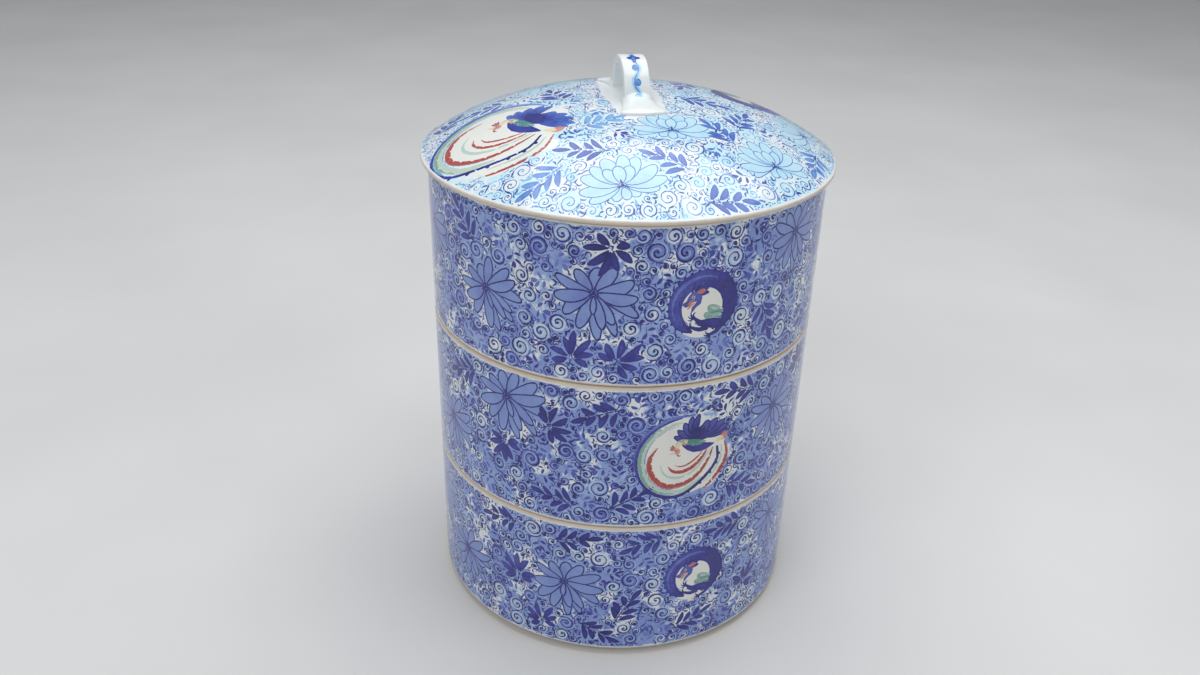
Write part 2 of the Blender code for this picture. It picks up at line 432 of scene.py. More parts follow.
def dragon_head(brush):
    """The dragon's head in profile, with its open jaw, horns, mane, eye and whiskers."""
    for angle, length in ((-20, 4.6), (2, 5.6), (24, 5.2), (46, 4.4)):
        brush.fill(blade(1.2 + 0.6j, 1.2 + 0.6j + length * turn(angle), 2.2, 0.12), cobalt(0.74))
    brush.stroke([0.8 + 1.6j, 2.0 + 2.9j, 4.0 + 3.4j, 5.4 + 4.8j], (1.1, 0.9, 0.3), cobalt(0.9), 2)
    brush.stroke([0.0 + 1.8j, 0.9 + 3.4j, 2.4 + 4.4j, 3.2 + 5.8j], (1.0, 0.8, 0.3), cobalt(0.9), 2)
    skull = patch(
        -4.5 + 0.3j, -4.1 + 1.5j, -2.7 + 1.4j, -1.5 + 2.3j, 0.2 + 2.9j, 1.9 + 2.4j, 2.8 + 0.3j,
        1.9 - 1.6j, 0.3 - 1.0j, -1.4 - 0.3j, -3.7 - 0.6j,
    )
    jaw = patch(2.0 - 1.2j, 0.9 - 2.5j, -1.2 - 2.7j, -3.3 - 3.4j, -2.6 - 1.9j, -0.8 - 1.3j, 0.3 - 0.9j)
    for form, pigment in (
        (skull, cobalt(0.66)),
        (jaw, cobalt(0.70)),
        (blade(-0.3 - 1.0j, -4.3 - 1.6j, 1.1, -0.1), AMBER),
        (blade(0.4 - 0.1j, -3.4 - 0.1j, 0.9, -0.1), ROSE),
        (disc(0.0 + 1.2j, 0.75, 9), YELLOW),
        (disc(-0.1 + 1.2j, 0.36, 7), LINE),
        (blade(1.6 + 1.8j, 5.0 + 0.6j, 1.9), ROSE),
    ):
        brush.fill(form, pigment)
    brush.stroke([-3.9 + 0.9j, -5.3 + 1.7j, -4.9 + 3.1j, -3.8 + 3.6j], (0.5, 0.35, 0.15), LINE, 2)
    brush.stroke([-2.8 - 2.8j, -3.9 - 3.5j, -3.5 - 4.6j], (0.45, 0.2), LINE, 2)


def dragon_scales(brush, route, widths):
    """Rows of small arcs along the dragon's back."""
    for inset, offset in ((1.3, 1), (2.9, 0), (4.4, 0)):
        for index in range(4, len(route) - 10, 2):
            here = route[index + offset]
            outward = here / abs(here)
            place = here + outward * (widths[index] / 2 - inset)
            side = outward * 0.8j
            low = outward * 0.35
            scale = [place - side - low, place + outward * 0.25, place + side - low]
            brush.stroke(scale, (0.2, 0.36, 0.2), cobalt(0.86), 2)


def dragon_ring(brush, rng):
    """A dragon coiled into a ring on a cream ground, with its head and mane inside."""
    brush.guard(0j, 14.4)
    brush.fill(disc(0j, 13.4, 40), CREAM)
    back = [11.4 * turn(angle) for angle in range(250, -60, -12)]
    back += [6.4 - 8.6j, 3.4 - 8.2j, 0.2 - 7.6j, -3.0 - 6.6j]
    widths = (1.2, 4.6, 5.4, 5.7, 6.2, 6.9, 7.5, 7.4, 7.2, 6.6, 4.8, 3.4, 2.0)
    route, widths = brush.stroke(back, widths, cobalt(0.72), 2, Fade(-12 + 6j, 12 - 5j, 0.92))
    brush.nick(route, widths, 1, 0.7, cobalt(0.84))
    dragon_scales(brush, route, widths)
    lit = [12.3 * turn(angle) for angle in range(205, 60, -16)]
    brush.stroke(lit, (0.4, 1.8, 0.4), cobalt(0.52), 2)
    for angle, reach in ((62, 10.4), (50, 11.6), (38, 10.6)):
        brush.fill(blade(reach * turn(angle), reach * turn(angle - 17), 1.3, 0.08), RUST)
    for base, tip, width in (
        (8.6 - 3.4j, 0.2 - 4.0j, 4.6),
        (8.8 - 2.6j, 1.6 - 0.6j, 4.4),
        (8.2 - 4.6j, 2.6 - 7.4j, 4.2),
    ):
        brush.fill(blade(base, tip, width, 0.10, 1.3, 0.5, 9), GREEN)
        brush.stroke([base, (base + tip) / 2 + 0.5j, tip + 1.0], (0.5, 0.34, 0.1), cobalt(0.82), 2)
    brush.fill(blade(7.6 - 1.4j, 3.0 - 0.6j, 1.5, 0.12), PALE_GREEN)
    brush.stroke([-0.2 + 9.0j, -1.6 + 7.2j, -3.0 + 5.4j], (4.0, 3.8, 3.6), cobalt(0.66), 2)
    claw(brush, 2.6 - 7.0j, -3.6 - 4.6j)
    claw(brush, 2.5 - 9.0j, -4.4 - 8.6j)
    claw(brush, 7.6 - 9.6j, 3.4 - 12.6j)
    brush.stroke([8.0 - 8.4j, 4.0 - 7.4j, 0.0 - 7.0j], (4.2, 3.8, 2.4), cobalt(0.84), 2)
    turned = math.degrees(cmath.phase(brush.heading)) + 34
    dragon_head(Brush(brush.sheet, brush.put(-3.6 + 3.0j), turned, brush.scale * 1.12))


def feather(brush, root, tip, width, bow):
    """One wing feather: dark at its root, with a dark edge and quill and a paler tip."""
    run = tip - root
    brush.fill(blade(root, tip, width, bow, 1.25, 0.5, 9), cobalt(0.86), PETAL, Fade(root, tip, 0.58))
    quill = root + run * 0.45
    bend = run * 1j * bow
    brush.stroke([quill + bend, (quill + tip) / 2 + bend, tip - run * 0.08], (0.3, 0.34, 0.1), LINE, 2)


def phoenix_tail(brush, full):
    """Long tail feathers that swing round in rings. full scales the boldest ones' widths."""
    def bold(*widths):
        return [full * width for width in widths]

    outer = [
        14.6 + 2.6j, 15.2 - 3.8j, 11.8 - 9.6j, 5.1 - 15.6j, -2.6 - 19.2j, -11.0 - 17.6j,
        -17.6 - 10.8j, -20.2 - 2.0j, -19.2 + 5.9j, -14.7 + 13.1j, -7.9 + 17.5j, -1.2 + 19.2j,
    ]
    widths = bold(1.2, 1.6, 1.7, 1.8, 1.8, 1.7, 1.6, 1.5, 1.4, 1.3, 1.1, 0.6)
    route, widths = brush.stroke(outer, widths, cobalt(0.92), 3, Fade(12 - 10j, -16 + 6j, 0.74))
    brush.nick(route[:16], widths[:16], 1, 0.7, cobalt(0.9), 2)
    green = [
        -1.5 - 17.0j, -10.1 - 15.3j, -15.9 - 9.4j, -17.9 - 1.6j, -16.9 + 5.6j, -12.7 + 12.0j,
        -6.2 + 16.0j, -1.4 + 16.9j,
    ]
    brush.stroke([8.4 - 11.2j, 4.4 - 14.2j] + green, (0.8, 2.2, 3.2, 3.5, 3.2, 2.4, 0.6), PALE_GREEN)
    deep = [point * 1.05 for point in green[:-1]]
    brush.nicked_stroke(deep, (0.4, 1.4, 1.8, 1.4, 0.4), GREEN, 0.42, PALE_GREEN)
    brush.stroke([point * 0.93 for point in green], (0.15, 0.32, 0.36, 0.32, 0.15), cobalt(0.66))
    red = [
        12.6 + 2.4j, 11.0 - 2.6j, 7.7 - 8.4j, 2.6 - 12.4j, -3.6 - 13.9j, -8.7 - 12.8j, -12.9 - 8.8j,
        -14.9 - 3.2j, -14.2 + 1.8j, -11.5 + 6.2j,
    ]
    brush.nicked_stroke(red, bold(0.7, 1.5, 2.0, 2.4, 2.8, 2.9, 2.9, 2.6, 1.7, 0.4), RED, 0.5, CREAM, 4)
    brush.stroke([point * 1.07 for point in red[1:]], (0.15, 0.3, 0.34, 0.3, 0.15), cobalt(0.6))
    quiet = [11.2 + 2.4j, 9.7 - 0.9j, 5.6 - 6.4j, 0.2 - 9.4j, -5.1 - 9.3j, -8.8 - 6.6j, -10.4 - 2.0j]
    brush.stroke(quiet, (0.5, 1.0, 1.3, 1.4, 1.1, 0.4), PALE_GREEN)
    short = [10.0 + 2.6j, 8.2 - 0.9j, 4.6 - 4.9j, -0.5 - 7.0j, -4.8 - 6.2j, -7.0 - 3.4j]
    brush.nicked_stroke(short, bold(0.6, 1.5, 1.9, 2.0, 1.6, 0.3), RED, 0.38, CREAM)
    inner = [8.4 + 2.4j, 6.2 - 0.4j, 2.6 - 3.2j, -1.4 - 4.4j, -4.4 - 3.2j]
    brush.stroke(inner, (0.3, 1.0, 1.0, 0.2), RED)
    brush.stroke([16.4 + 3.4j, 17.2 - 3.0j, 14.2 - 9.8j, 8.4 - 15.4j], (0.5, 1.2, 1.2, 0.4), PALE_GREEN)
    far = [18.0 + 4.2j, 19.8 - 2.4j, 17.6 - 9.2j, 12.2 - 15.6j, 6.0 - 19.8j]
    brush.nicked_stroke(far, bold(0.7, 1.7, 2.0, 1.6, 0.4), RED, 0.42, CREAM)


def phoenix_wings(brush):
    """Two fans of feathers over a dark back, with small coverts at their root."""
    brush.fill(blade(0.4 + 7.0j, 17.6 + 11.6j, 7.6, 0.10, 1.0, 0.6, 9), cobalt(0.84))
    for root, bow, tips in ((3.6 + 8.0j, 0.05, NEAR_WING), (5.4 + 9.4j, -0.05, FAR_WING)):
        for tip, width in tips:
            feather(brush, root, tip, width, bow)
    shoulder = 4.4 + 8.0j
    for angle, reach in ((118, 5.4), (96, 5.8), (74, 6.0), (52, 6.2), (30, 6.4), (10, 6.2)):
        brush.fill(blade(shoulder, shoulder + reach * turn(angle), 2.4, 0.05, 1.2, 0.5), cobalt(0.92))


def phoenix_body(brush):
    """The rump, body, neck and crested head."""
    for form, pigment in (
        (blade(16.2 + 4.4j, 18.6 + 8.6j, 3.2), ROSE),
        (blade(13.4 + 4.6j, 17.4 + 6.2j, 2.2), YELLOW),
        (blade(13.4 + 4.2j, -1.8 + 6.6j, 5.0, 0.1), cobalt(0.84)),
        (blade(9.4 + 6.2j, -0.6 + 7.8j, 3.4, 0.06), GREEN),
    ):
        brush.fill(form, pigment)
    for step in range(5):
        place = 1.2 + 2.1 * step + (6.0 - 0.35 * step) * 1j
        fleck = [place - 0.5 + 0.5j, place - 0.1 - 0.4j, place + 0.6 + 0.3j]
        brush.stroke(fleck, (0.2, 0.35, 0.2), cobalt(0.95), 2)
    brush.stroke([0.6 + 7.0j, -1.8 + 7.6j, -3.4 + 6.2j, -3.4 + 4.2j], (3.0, 2.6, 2.2, 2.0), YELLOW)
    brush.stroke([0.8 + 8.0j, -1.4 + 8.8j, -3.8 + 7.4j, -4.4 + 5.2j], (0.8, 0.7, 0.5, 0.3), GREEN)
    crown = -3.8 + 4.4j
    for angle in (128, 150, 172):
        brush.fill(blade(crown, crown + 3.2 * turn(angle), 1.0, 0.1), RED)
    brush.fill(disc(-3.6 + 3.3j, 1.55, 11), ROSE)
    brush.fill(patch(-4.6 + 3.9j, -6.8 + 2.0j, -4.3 + 2.3j), YELLOW)
    brush.stroke([-3.4 + 1.9j, -2.6 + 0.9j, -1.6 + 1.3j], (0.9, 0.8, 0.3), RED, 2)
    brush.fill(disc(-4.0 + 3.6j, 0.4, 7), LINE)


def phoenix(brush, rng, full=1.0):
    """A phoenix on a cream ground, whose tail swings round it into a disc of long feathers."""
    for place, radius in ((0j, 20.6), (17.0 - 1.5j, 5.4), (11.0 - 16.0j, 3.6), (7.5 + 14j, 6.4)):
        brush.guard(place, radius)
    halo = [20.0 * turn(angle) for angle in range(-100, -300, -20)]
    brush.stroke(halo, (0.8, 2.4, 2.8, 2.4, 0.8), cobalt(0.50), 2)
    for place, radius, steps in ((0j, 18.8, 44), (15.6 - 2.5j, 5.4, 20), (10.5 - 13.0j, 4.6, 16)):
        brush.fill(disc(place, radius, steps), CREAM)
    phoenix_tail(brush, full)
    phoenix_wings(brush)
    phoenix_body(brush)


# Curling scrollwork that fills the ground

Curl = namedtuple("Curl", "place radius")

# The share of curls with a pale body, and ranges of blue: of pale bodies, deep bodies, small
# strokes and coils' lines
Tone = namedtuple("Tone", "pale_share pale deep strokes lines")
LOWER_TONE = Tone(0.46, (0.08, 0.22), (0.28, 0.46), (0.62, 1.0), (0.72, 1.0))
MIDDLE_TONE = Tone(0.38, (0.12, 0.28), (0.38, 0.60), (0.70, 1.0), (0.80, 1.0))
UPPER_TONE = Tone(0.44, (0.07, 0.22), (0.30, 0.52), (0.62, 1.0), (0.74, 1.0))
LID_TONE = Tone(0.34, (0.0, 0.05), (0.06, 0.22), (0.30, 0.86), (0.36, 0.84))

# Radii of what fills the ground, each with its tries for a thousand square millimetres
BOX_CURLS = ((4.2, 16), (3.7, 50), (3.2, 110), (2.7, 200), (2.25, 320), (1.85, 450), (1.5, 600), (1.2, 700))
LID_CURLS = ((3.6, 14), (3.0, 50), (2.5, 120), (2.05, 240), (1.7, 380), (1.4, 500), (1.15, 600))
TWIGS = ((3.6, 13),)
COMMAS = ((0.95, 600), (0.75, 900), (0.55, 1300))
DOTS = ((0.32, 900),)

# How curls take their blue, pair up and are echoed
DEEP_SHARE = 0.62
LINE_CONTRAST = 0.25
PAIRING_CELL = 8
PAIRING_GAP = 1.3
ECHOED_RADIUS = 1.4
ECHOED_SHARE = 0.62


class Packing:
    """Round places on a field that keep clear of one another, sorted into square cells."""

    CELL = 6.0
    LARGEST = 4.6

    def __init__(self, field):
        self.field = field
        self.cells = defaultdict(list)

    def cell(self, point):
        return int(point.real // self.CELL), int(point.imag // self.CELL)

    def add(self, place, radius):
        reach = radius + self.LARGEST
        corner = complex(reach, reach)
        for copy in self.field.copies(place, reach):
            left, low = self.cell(copy - corner)
            right, high = self.cell(copy + corner)
            for column in range(left, right + 1):
                for row in range(low, high + 1):
                    self.cells[column, row].append((copy, radius))

    def is_free(self, place, radius, gap):
        near = self.cells[self.cell(place)]
        return all(abs(place - other) >= radius + other_radius + gap for other, other_radius in near)

    def scatter(self, radius, gap, tries, rng):
        """Throw places of one radius at the field and keep those that fit."""
        kept = []
        for _ in range(tries):
            place = self.field.pick(rng)
            if self.field.holds(place, radius) and self.is_free(place, radius, gap):
                self.add(place, radius)
                kept.append(Curl(place, radius))
        return kept


def lay_curl(sheet, curl, rim_degrees, sense, tone, rng):
    """Lay a curl whose line leaves its rim at an angle, and give its body's depth of blue.

    The material draws the coil on it. sense is 1 or -1, the way that the coil winds.
    """
    turns = rng.uniform(0.80, 1.05) + 0.17 * curl.radius
    leave = 360.0 * (0.5 - turns)
    heading = curl.radius * turn(rim_degrees - sense * leave)
    body = OPEN_GROUND
    if rng.random() < tone.pale_share:
        body = rng.uniform(*tone.pale)
    elif rng.random() < DEEP_SHARE:
        body = rng.uniform(*tone.deep)
    line = max(rng.uniform(*tone.lines), body + LINE_CONTRAST)
    form = Form(disc(curl.place, curl.radius * 1.05, 10).outline, [])
    sheet.lay(form, cobalt(body), CURL, None, Coil(curl.place, heading, sense, curl.radius, turns, line))
    return body


def pairing_cell(curl):
    """The square cell that a curl lies in, for finding its neighbours."""
    return int(curl.place.real // PAIRING_CELL), int(curl.place.imag // PAIRING_CELL)


def nearest_partner(curls, near, index, joined):
    """The closest curl to one that is still single, if it is close enough to join."""
    curl = curls[index]
    column, row = pairing_cell(curl)
    best = None
    best_gap = PAIRING_GAP
    for cell in ((column + side, row + level) for side in (-1, 0, 1) for level in (-1, 0, 1)):
        for other in near[cell]:
            gap = abs(curls[other].place - curl.place) - curls[other].radius - curl.radius
            if other != index and other not in joined and gap < best_gap:
                best = other
                best_gap = gap
    return best


def tail_shapes(curl, degrees, sense, body, rng):
    """A single curl's tail: a band in the curl's own wash, with a dark line along its side."""
    outward = turn(degrees)
    ahead = -sense * 1j * outward
    bend = turn(sense * rng.uniform(10, 30))
    reach = curl.radius * rng.uniform(0.55, 0.8)
    route = [-0.4 * ahead, reach * ahead, 1.9 * reach * ahead * bend, 2.6 * reach * ahead * bend * bend]
    found = []
    if body > OPEN_GROUND:
        inside = curl.place + (curl.radius - 0.5) * outward
        found.append((ribbon([inside + point for point in route], (1.0, 1.2, 0.9, 0.2)), cobalt(body)))
    rim = curl.place + curl.radius * outward
    found.append((ribbon([rim + point for point in route], (0.3, 0.55, 0.4, 0.12)), LINE))
    return found


def echo_line(curl, rng):
    """A tapered arc that follows part of a curl's rim, a little way off."""
    start = rng.uniform(0, 360)
    swing = rng.uniform(70, 150)
    reach = curl.radius + rng.uniform(0.35, 0.6)
    route = [curl.place + reach * turn(start + swing * step / 5) for step in range(6)]
    return ribbon(route, (0.1, 0.42, 0.62, 0.62, 0.4, 0.1))


def join_curls(sheet, curl, other, sense, tone, rng):
    """Lay two curls as an S scroll, and give the line between them."""
    reach = other.place - curl.place
    swing = math.degrees(math.acos(min((curl.radius + other.radius) / abs(reach), 1.0)))
    degrees = math.degrees(cmath.phase(reach)) + sense * swing
    lay_curl(sheet, curl, degrees, sense, tone, rng)
    lay_curl(sheet, other, degrees + 180, sense, tone, rng)
    start = curl.place + curl.radius * turn(degrees)
    end = other.place - other.radius * turn(degrees)
    ahead = -sense * 1j * turn(degrees)
    return ribbon([start - 0.4 * ahead, (start + end) / 2, end + 0.4 * ahead], (0.34, 0.66, 0.34))


def draw_curls(sheet, curls, tone, rng):
    """Join near curls in pairs as S scrolls, and leave the rest as single curls with a tail."""
    near = defaultdict(list)
    for index, curl in enumerate(curls):
        near[pairing_cell(curl)].append(index)
    joined = set()
    order = list(range(len(curls)))
    rng.shuffle(order)
    tails = []
    for index in order:
        if index in joined:
            continue
        joined.add(index)
        curl = curls[index]
        sense = rng.choice((-1, 1))
        best = nearest_partner(curls, near, index, joined)
        if best is None:
            degrees = rng.uniform(0, 360)
            body = lay_curl(sheet, curl, degrees, sense, tone, rng)
            tails += tail_shapes(curl, degrees, sense, body, rng)
        else:
            joined.add(best)
            tails.append((join_curls(sheet, curl, curls[best], sense, tone, rng), LINE))
    for curl in curls:
        if curl.radius > ECHOED_RADIUS and rng.random() < ECHOED_SHARE:
            tails.append((echo_line(curl, rng), cobalt(rng.uniform(*tone.strokes))))
    for form, pigment in tails:
        sheet.lay(Form(form.outline, []), pigment)


def draw_commas(sheet, commas, tone, rng):
    """Small curved dabs in the gaps between curls. The material draws each on its patch."""
    for comma in commas:
        size = comma.radius * rng.uniform(1.2, 1.6)
        heading = size * turn(rng.uniform(0, 360))
        sense = rng.choice((-1, 1))
        corners = [complex(x, sense * y) for x, y in ((-1.0, -0.5), (1.0, -0.5), (1.0, 0.7), (-1.0, 0.7))]
        form = Form([comma.place + heading * corner for corner in corners], [])
        blue = cobalt(rng.uniform(*tone.strokes))
        sheet.lay(form, blue, COMMA, None, Coil(comma.place, heading, sense, size, 0.0, 0.0))


def fill_with_scrollwork(sheet, field, sizes, tone, rng):
    """Cover what the motifs leave free with twigs, curls, commas and dots, under the motifs.

    Each kind comes in sizes, as radii with the tries for a thousand square millimetres.
    """
    motifs = sheet.shapes
    sheet.shapes = []
    packing = Packing(field)
    for place, radius in sheet.guards:
        packing.add(place, radius)

    def scatter(kind, gap):
        share = field.area / 1000.0
        places = [packing.scatter(radius, gap, int(tries * share), rng) for radius, tries in kind]
        return [place for found in places for place in found]

    for place, _ in scatter(TWIGS, 0.2):
        twig(Brush(sheet, place, rng.uniform(0, 360)), rng)
    curls = scatter(sizes, 0.12)
    commas = scatter(COMMAS, -0.15)
    dots = scatter(DOTS, 0.02)
    draw_curls(sheet, curls, tone, rng)
    draw_commas(sheet, commas, tone, rng)
    for dot in dots:
        sheet.lay(Form(disc(dot.place, 0.34, 5).outline, []), cobalt(rng.uniform(0.5, 0.85)))
    sheet.shapes += motifs


# Fields: the flat shapes of what is painted

class WallField:
    """A wall unrolled: x runs round the box and wraps, y runs up between two edges."""

    def __init__(self, radius, height):
        self.radius = radius
        self.width = math.tau * radius
        self.height = height
        self.rows = round(height / GRID_STEP)
        self.area = self.width * height

    def pick(self, rng):
        return complex(rng.uniform(0, self.width), rng.uniform(0, self.height))

    def holds(self, place, radius):
        return radius + SIDE_BORDER < place.imag < self.height - radius - TOP_BORDER

    def copies(self, place, reach):
        """The place, moved onto the sheet, and its copy past a side that it nearly touches."""
        home = complex(place.real % self.width, place.imag)
        shifts = (0.0, self.width, -self.width)
        return [home + shift for shift in shifts if -reach < home.real + shift < self.width + reach]

    def cut(self, outline):
        """The shifts at which an outline lies on the sheet, with what both edges leave of it."""
        outline = cut_outline(outline, SIDE_BORDER * 1j, 1j)
        outline = cut_outline(outline, (self.height - TOP_BORDER) * 1j, -1j) if outline else outline
        if len(outline) < 3:
            return []
        low = min(point.real for point in outline)
        high = max(point.real for point in outline)
        shifts = (-self.width, 0.0, self.width)
        shifts = [shift for shift in shifts if high + shift > 0.0 and low + shift < self.width]
        return [(shift, [point + shift for point in outline]) for shift in shifts]

    def washed(self, point):
        """How far the ground's wash reaches a point, from 0 at the edges to 1."""
        return clamp(min(point.imag / 0.8, (self.height - point.imag) / 1.1 - 0.1))

    def lines(self):
        """Chains of points that faces may not cross: the border and the bake map's joints."""
        step = self.width / COLUMNS
        levels = [[complex(index * step, y) for index in range(COLUMNS + 1)] for y in (0.0, self.height)]
        sides = [self.width * index / STRIPS for index in range(STRIPS + 1)]
        heights = [self.height * row / self.rows for row in range(self.rows + 1)]
        return levels + [[complex(x, y) for y in heights] for x in sides]

    def grid(self):
        """Points inside the border, each row half a step on from the last."""
        return [
            complex((column + 0.5 * (row % 2)) * self.width / COLUMNS, row * self.height / self.rows)
            for row in range(1, self.rows)
            for column in range(COLUMNS)
        ]

    def covers(self, point):
        return 0.0 < point.real < self.width and 0.0 < point.imag < self.height

    def unwrap(self, point, middle):
        """A place on the bake map: the wall is cut into strips, one over another."""
        strip = min(int(middle.real / self.width * STRIPS), STRIPS - 1)
        across = point.real / self.width * STRIPS - strip
        up = (strip + 0.01 + 0.98 * point.imag / self.height) / STRIPS
        return 0.003 + 0.994 * across, PAINTED_SHARE * up


class DomeField:
    """The dome seen from above, out to the edge's rounding."""

    def __init__(self, radius):
        self.radius = radius
        self.area = math.pi * radius ** 2

    def pick(self, rng):
        return self.radius * math.sqrt(rng.random()) * turn(rng.uniform(0, 360))

    def holds(self, place, radius):
        return abs(place) + radius + SIDE_BORDER < self.radius

    def copies(self, place, reach):
        return [place]

    def cut(self, outline):
        """The outline, with what the round border leaves of it."""
        limit = self.radius - SIDE_BORDER
        if max(abs(point) for point in outline) > limit * 0.98:
            for step in range(96):
                outward = turn(360.0 * step / 96)
                outline = cut_outline(outline, limit * outward, -outward)
                if len(outline) < 3:
                    return []
        return [(0.0, outline)]

    def washed(self, point):
        """How far the ground's wash reaches a point, from 0 round the handle to 1."""
        return clamp(2.2 * math.hypot(point.real / 15.0, point.imag / 36.0) - 2.0)

    def lines(self):
        return [[self.radius * turn(360.0 * step / COLUMNS) for step in range(COLUMNS + 1)]]

    def grid(self):
        """Points in rings, about one grid step apart."""
        rings = round(self.radius / GRID_STEP)
        points = [0j]
        for ring in range(1, rings):
            radius = self.radius * ring / rings
            count = max(round(math.tau * radius / GRID_STEP), 6)
            points += [radius * turn(360.0 * (step + 0.5 * (ring % 2)) / count) for step in range(count)]
        return points

    def covers(self, point):
        return abs(point) < self.radius

    def unwrap(self, point, middle):
        """A place on the bake map: the dome keeps its plan."""
        half = PAINTED_SHARE / 2
        return [half + part / self.radius * half * 0.995 for part in (point.real, point.imag)]


def split_sheet(sheet, field):
    """Split a field into triangles along every outline.

    Gives the corners, the triangles, the shapes as they were laid with their shifts, and for
    each triangle the index of the shape on top and of the one beneath it, or -1.
    """
    corners = []
    loops = []
    laid = []
    for shape in sheet.shapes:
        for shift, outline in field.cut(shape.form.outline):
            first = len(corners)
            corners += outline
            loops.append(list(range(first, len(corners))))
            laid.append((shape, shift))
            corners += [point + shift for point in shape.form.spine if field.covers(point + shift)]
    edges = []
    for line in field.lines():
        first = len(corners)
        corners += line
        edges += [(index, index + 1) for index in range(first, len(corners) - 1)]
    corners += field.grid()
    flat = [Vector((point.real, point.imag)) for point in corners]
    places, _, faces, _, _, sources = delaunay_2d_cdt(flat, edges, loops, 0, 1e-4, True)
    points = np.array([complex(*place) for place in places])
    triangles = []
    owners = []
    for triangle, loops_over in zip(faces, sources):
        if field.covers(sum(points[index] for index in triangle) / 3):
            triangles.append(triangle)
            owners.append(([-1, -1] + sorted(loops_over))[-2:])
    unders, tops = np.array(owners).T
    return points, np.array(triangles), laid, tops, unders


def depth_inside(points, outline):
    """How deep points lie inside an outline."""
    starts = np.array(outline)
    runs = np.roll(starts, -1) - starts
    away = points[:, None] - starts[None, :]
    share = np.clip((away * runs.conj()).real / np.maximum(np.abs(runs) ** 2, 1e-9), 0.0, 1.0)
    return np.abs(away - share * runs).min(axis=1)


def strength_at(shape, points):
    """A shape's cobalt at points, after its fade from start to end."""
    if shape.fade is None:
        return np.full(points.shape, shape.pigment.cobalt)
    reach = shape.fade.end - shape.fade.start
    share = ((points - shape.fade.start) * reach.conjugate()).real / abs(reach) ** 2
    return shape.pigment.cobalt + (shape.fade.cobalt - shape.pigment.cobalt) * np.clip(share, 0.0, 1.0)


def rows_of(owners, count):
    """For each shape, the triangles that it owns."""
    order = np.argsort(owners, kind="stable")
    bounds = np.searchsorted(owners[order], np.arange(count + 1))
    return [order[bounds[index]:bounds[index + 1]] for index in range(count)]


def write_attribute(mesh, name, domain, values):
    """Give a mesh an attribute, from numbers or from triangles whose corners hold colours."""
    values = np.array(values)
    kind, key = ("FLOAT_COLOR", "color") if values.ndim == 3 else ("FLOAT", "value")
    mesh.attributes.new(name, kind, domain).data.foreach_set(key, values.ravel())


def painted_surface(name, sheet, field, place):
    """Make the painted surface as a mesh: place puts a flat point in space."""
    points, triangles, laid, tops, unders = split_sheet(sheet, field)
    at = points[triangles]
    count = len(triangles)
    kinds = np.zeros(count)
    lines = np.zeros(count)
    strength = np.full((count, 3), OPEN_GROUND)
    under = np.full((count, 3), OPEN_GROUND)
    depth = np.zeros((count, 3))
    coil = np.zeros((count, 3, 4))
    over = np.zeros((count, 3, 4))
    for (shape, shift), rows, beneath in zip(laid, rows_of(tops, len(laid)), rows_of(unders, len(laid))):
        under[beneath] = strength_at(shape, at[beneath] - shift)
        if not len(rows):
            continue
        here = at[rows] - shift
        kinds[rows] = shape.kind
        strength[rows] = strength_at(shape, here)
        over[rows] = (*shape.pigment.enamel, shape.pigment.cover)
        depth[rows] = 1.0
        if shape.form.spine:
            depth[rows] = depth_inside(here.ravel(), shape.form.outline).reshape(-1, 3)
        if shape.coil:
            local = (here - shape.coil.centre) / shape.coil.heading
            coil[rows, :, 0] = local.real
            coil[rows, :, 1] = local.imag * shape.coil.sense
            coil[rows, :, 2:] = shape.coil.radius, shape.coil.turns
            lines[rows] = shape.coil.line

    mesh = bpy.data.meshes.new(name)
    mesh.from_pydata([place(complex(point)) for point in points], [], triangles.tolist())
    washed = [field.washed(complex(point)) for point in points]
    for key, domain, values in (
        ("kind", "FACE", kinds),
        ("line", "FACE", lines),
        ("washed", "POINT", washed),
        ("cobalt", "CORNER", strength),
        ("under", "CORNER", under),
        ("edge", "CORNER", depth),
        ("coil", "CORNER", coil),
        ("enamel", "CORNER", over),
    ):
        write_attribute(mesh, key, domain, values)
    places = []
    for corners in at:
        middle = corners.mean()
        for corner in corners:
            places += field.unwrap(corner, middle)
    mesh.uv_layers.new(name="OFBake").uv.foreach_set("vector", places)
    return add_object(name, mesh)


# Modelling helpers

def add_object(name, data):
    """Put new data in the scene as an object."""
    item = bpy.data.objects.new(name, data)
    bpy.context.scene.collection.objects.link(item)
    return item


def only(piece):
    """Select one object alone and make it active."""
    bpy.ops.object.select_all(action="DESELECT")
    piece.select_set(True)
    bpy.context.view_layer.objects.active = piece


def edit_all(piece):
    """Open one object in edit mode with all of it selected."""
    only(piece)
    bpy.ops.object.mode_set(mode="EDIT")
    bpy.ops.mesh.select_all(action="SELECT")


def stop_editing():
    bpy.ops.object.mode_set(mode="OBJECT")


def extrude(rise):
    """Extrude what is selected straight up or down."""
    bpy.ops.mesh.extrude_region_move(TRANSFORM_OT_translate={"value": (0.0, 0.0, rise)})


def weld():
    bpy.ops.mesh.select_all(action="SELECT")
    bpy.ops.mesh.remove_doubles(threshold=WELD_DISTANCE)


def select_where(piece, kind, test):
    """In edit mode, select the faces or edges whose middle and self pass a test."""
    mesh = bmesh.from_edit_mesh(piece.data)
    bpy.ops.mesh.select_all(action="DESELECT")
    for element in getattr(mesh, kind):
        points = [corner.co for corner in element.verts]
        middle = sum(points, Vector()) / len(points)
        if test(middle, element):
            element.select_set(True)
    mesh.select_flush_mode()
    bmesh.update_edit_mesh(piece.data)


def ring_edges(piece, radius, z):
    """Select the round edge loop at a radius and height."""
    def on_ring(middle, edge):
        return all(
            abs(corner.co.z - z) < SAME_PLACE and abs(corner.co.xy.length - radius) < SAME_PLACE
            for corner in edge.verts
        )

    bpy.ops.mesh.select_mode(type="EDGE")
    select_where(piece, "edges", on_ring)


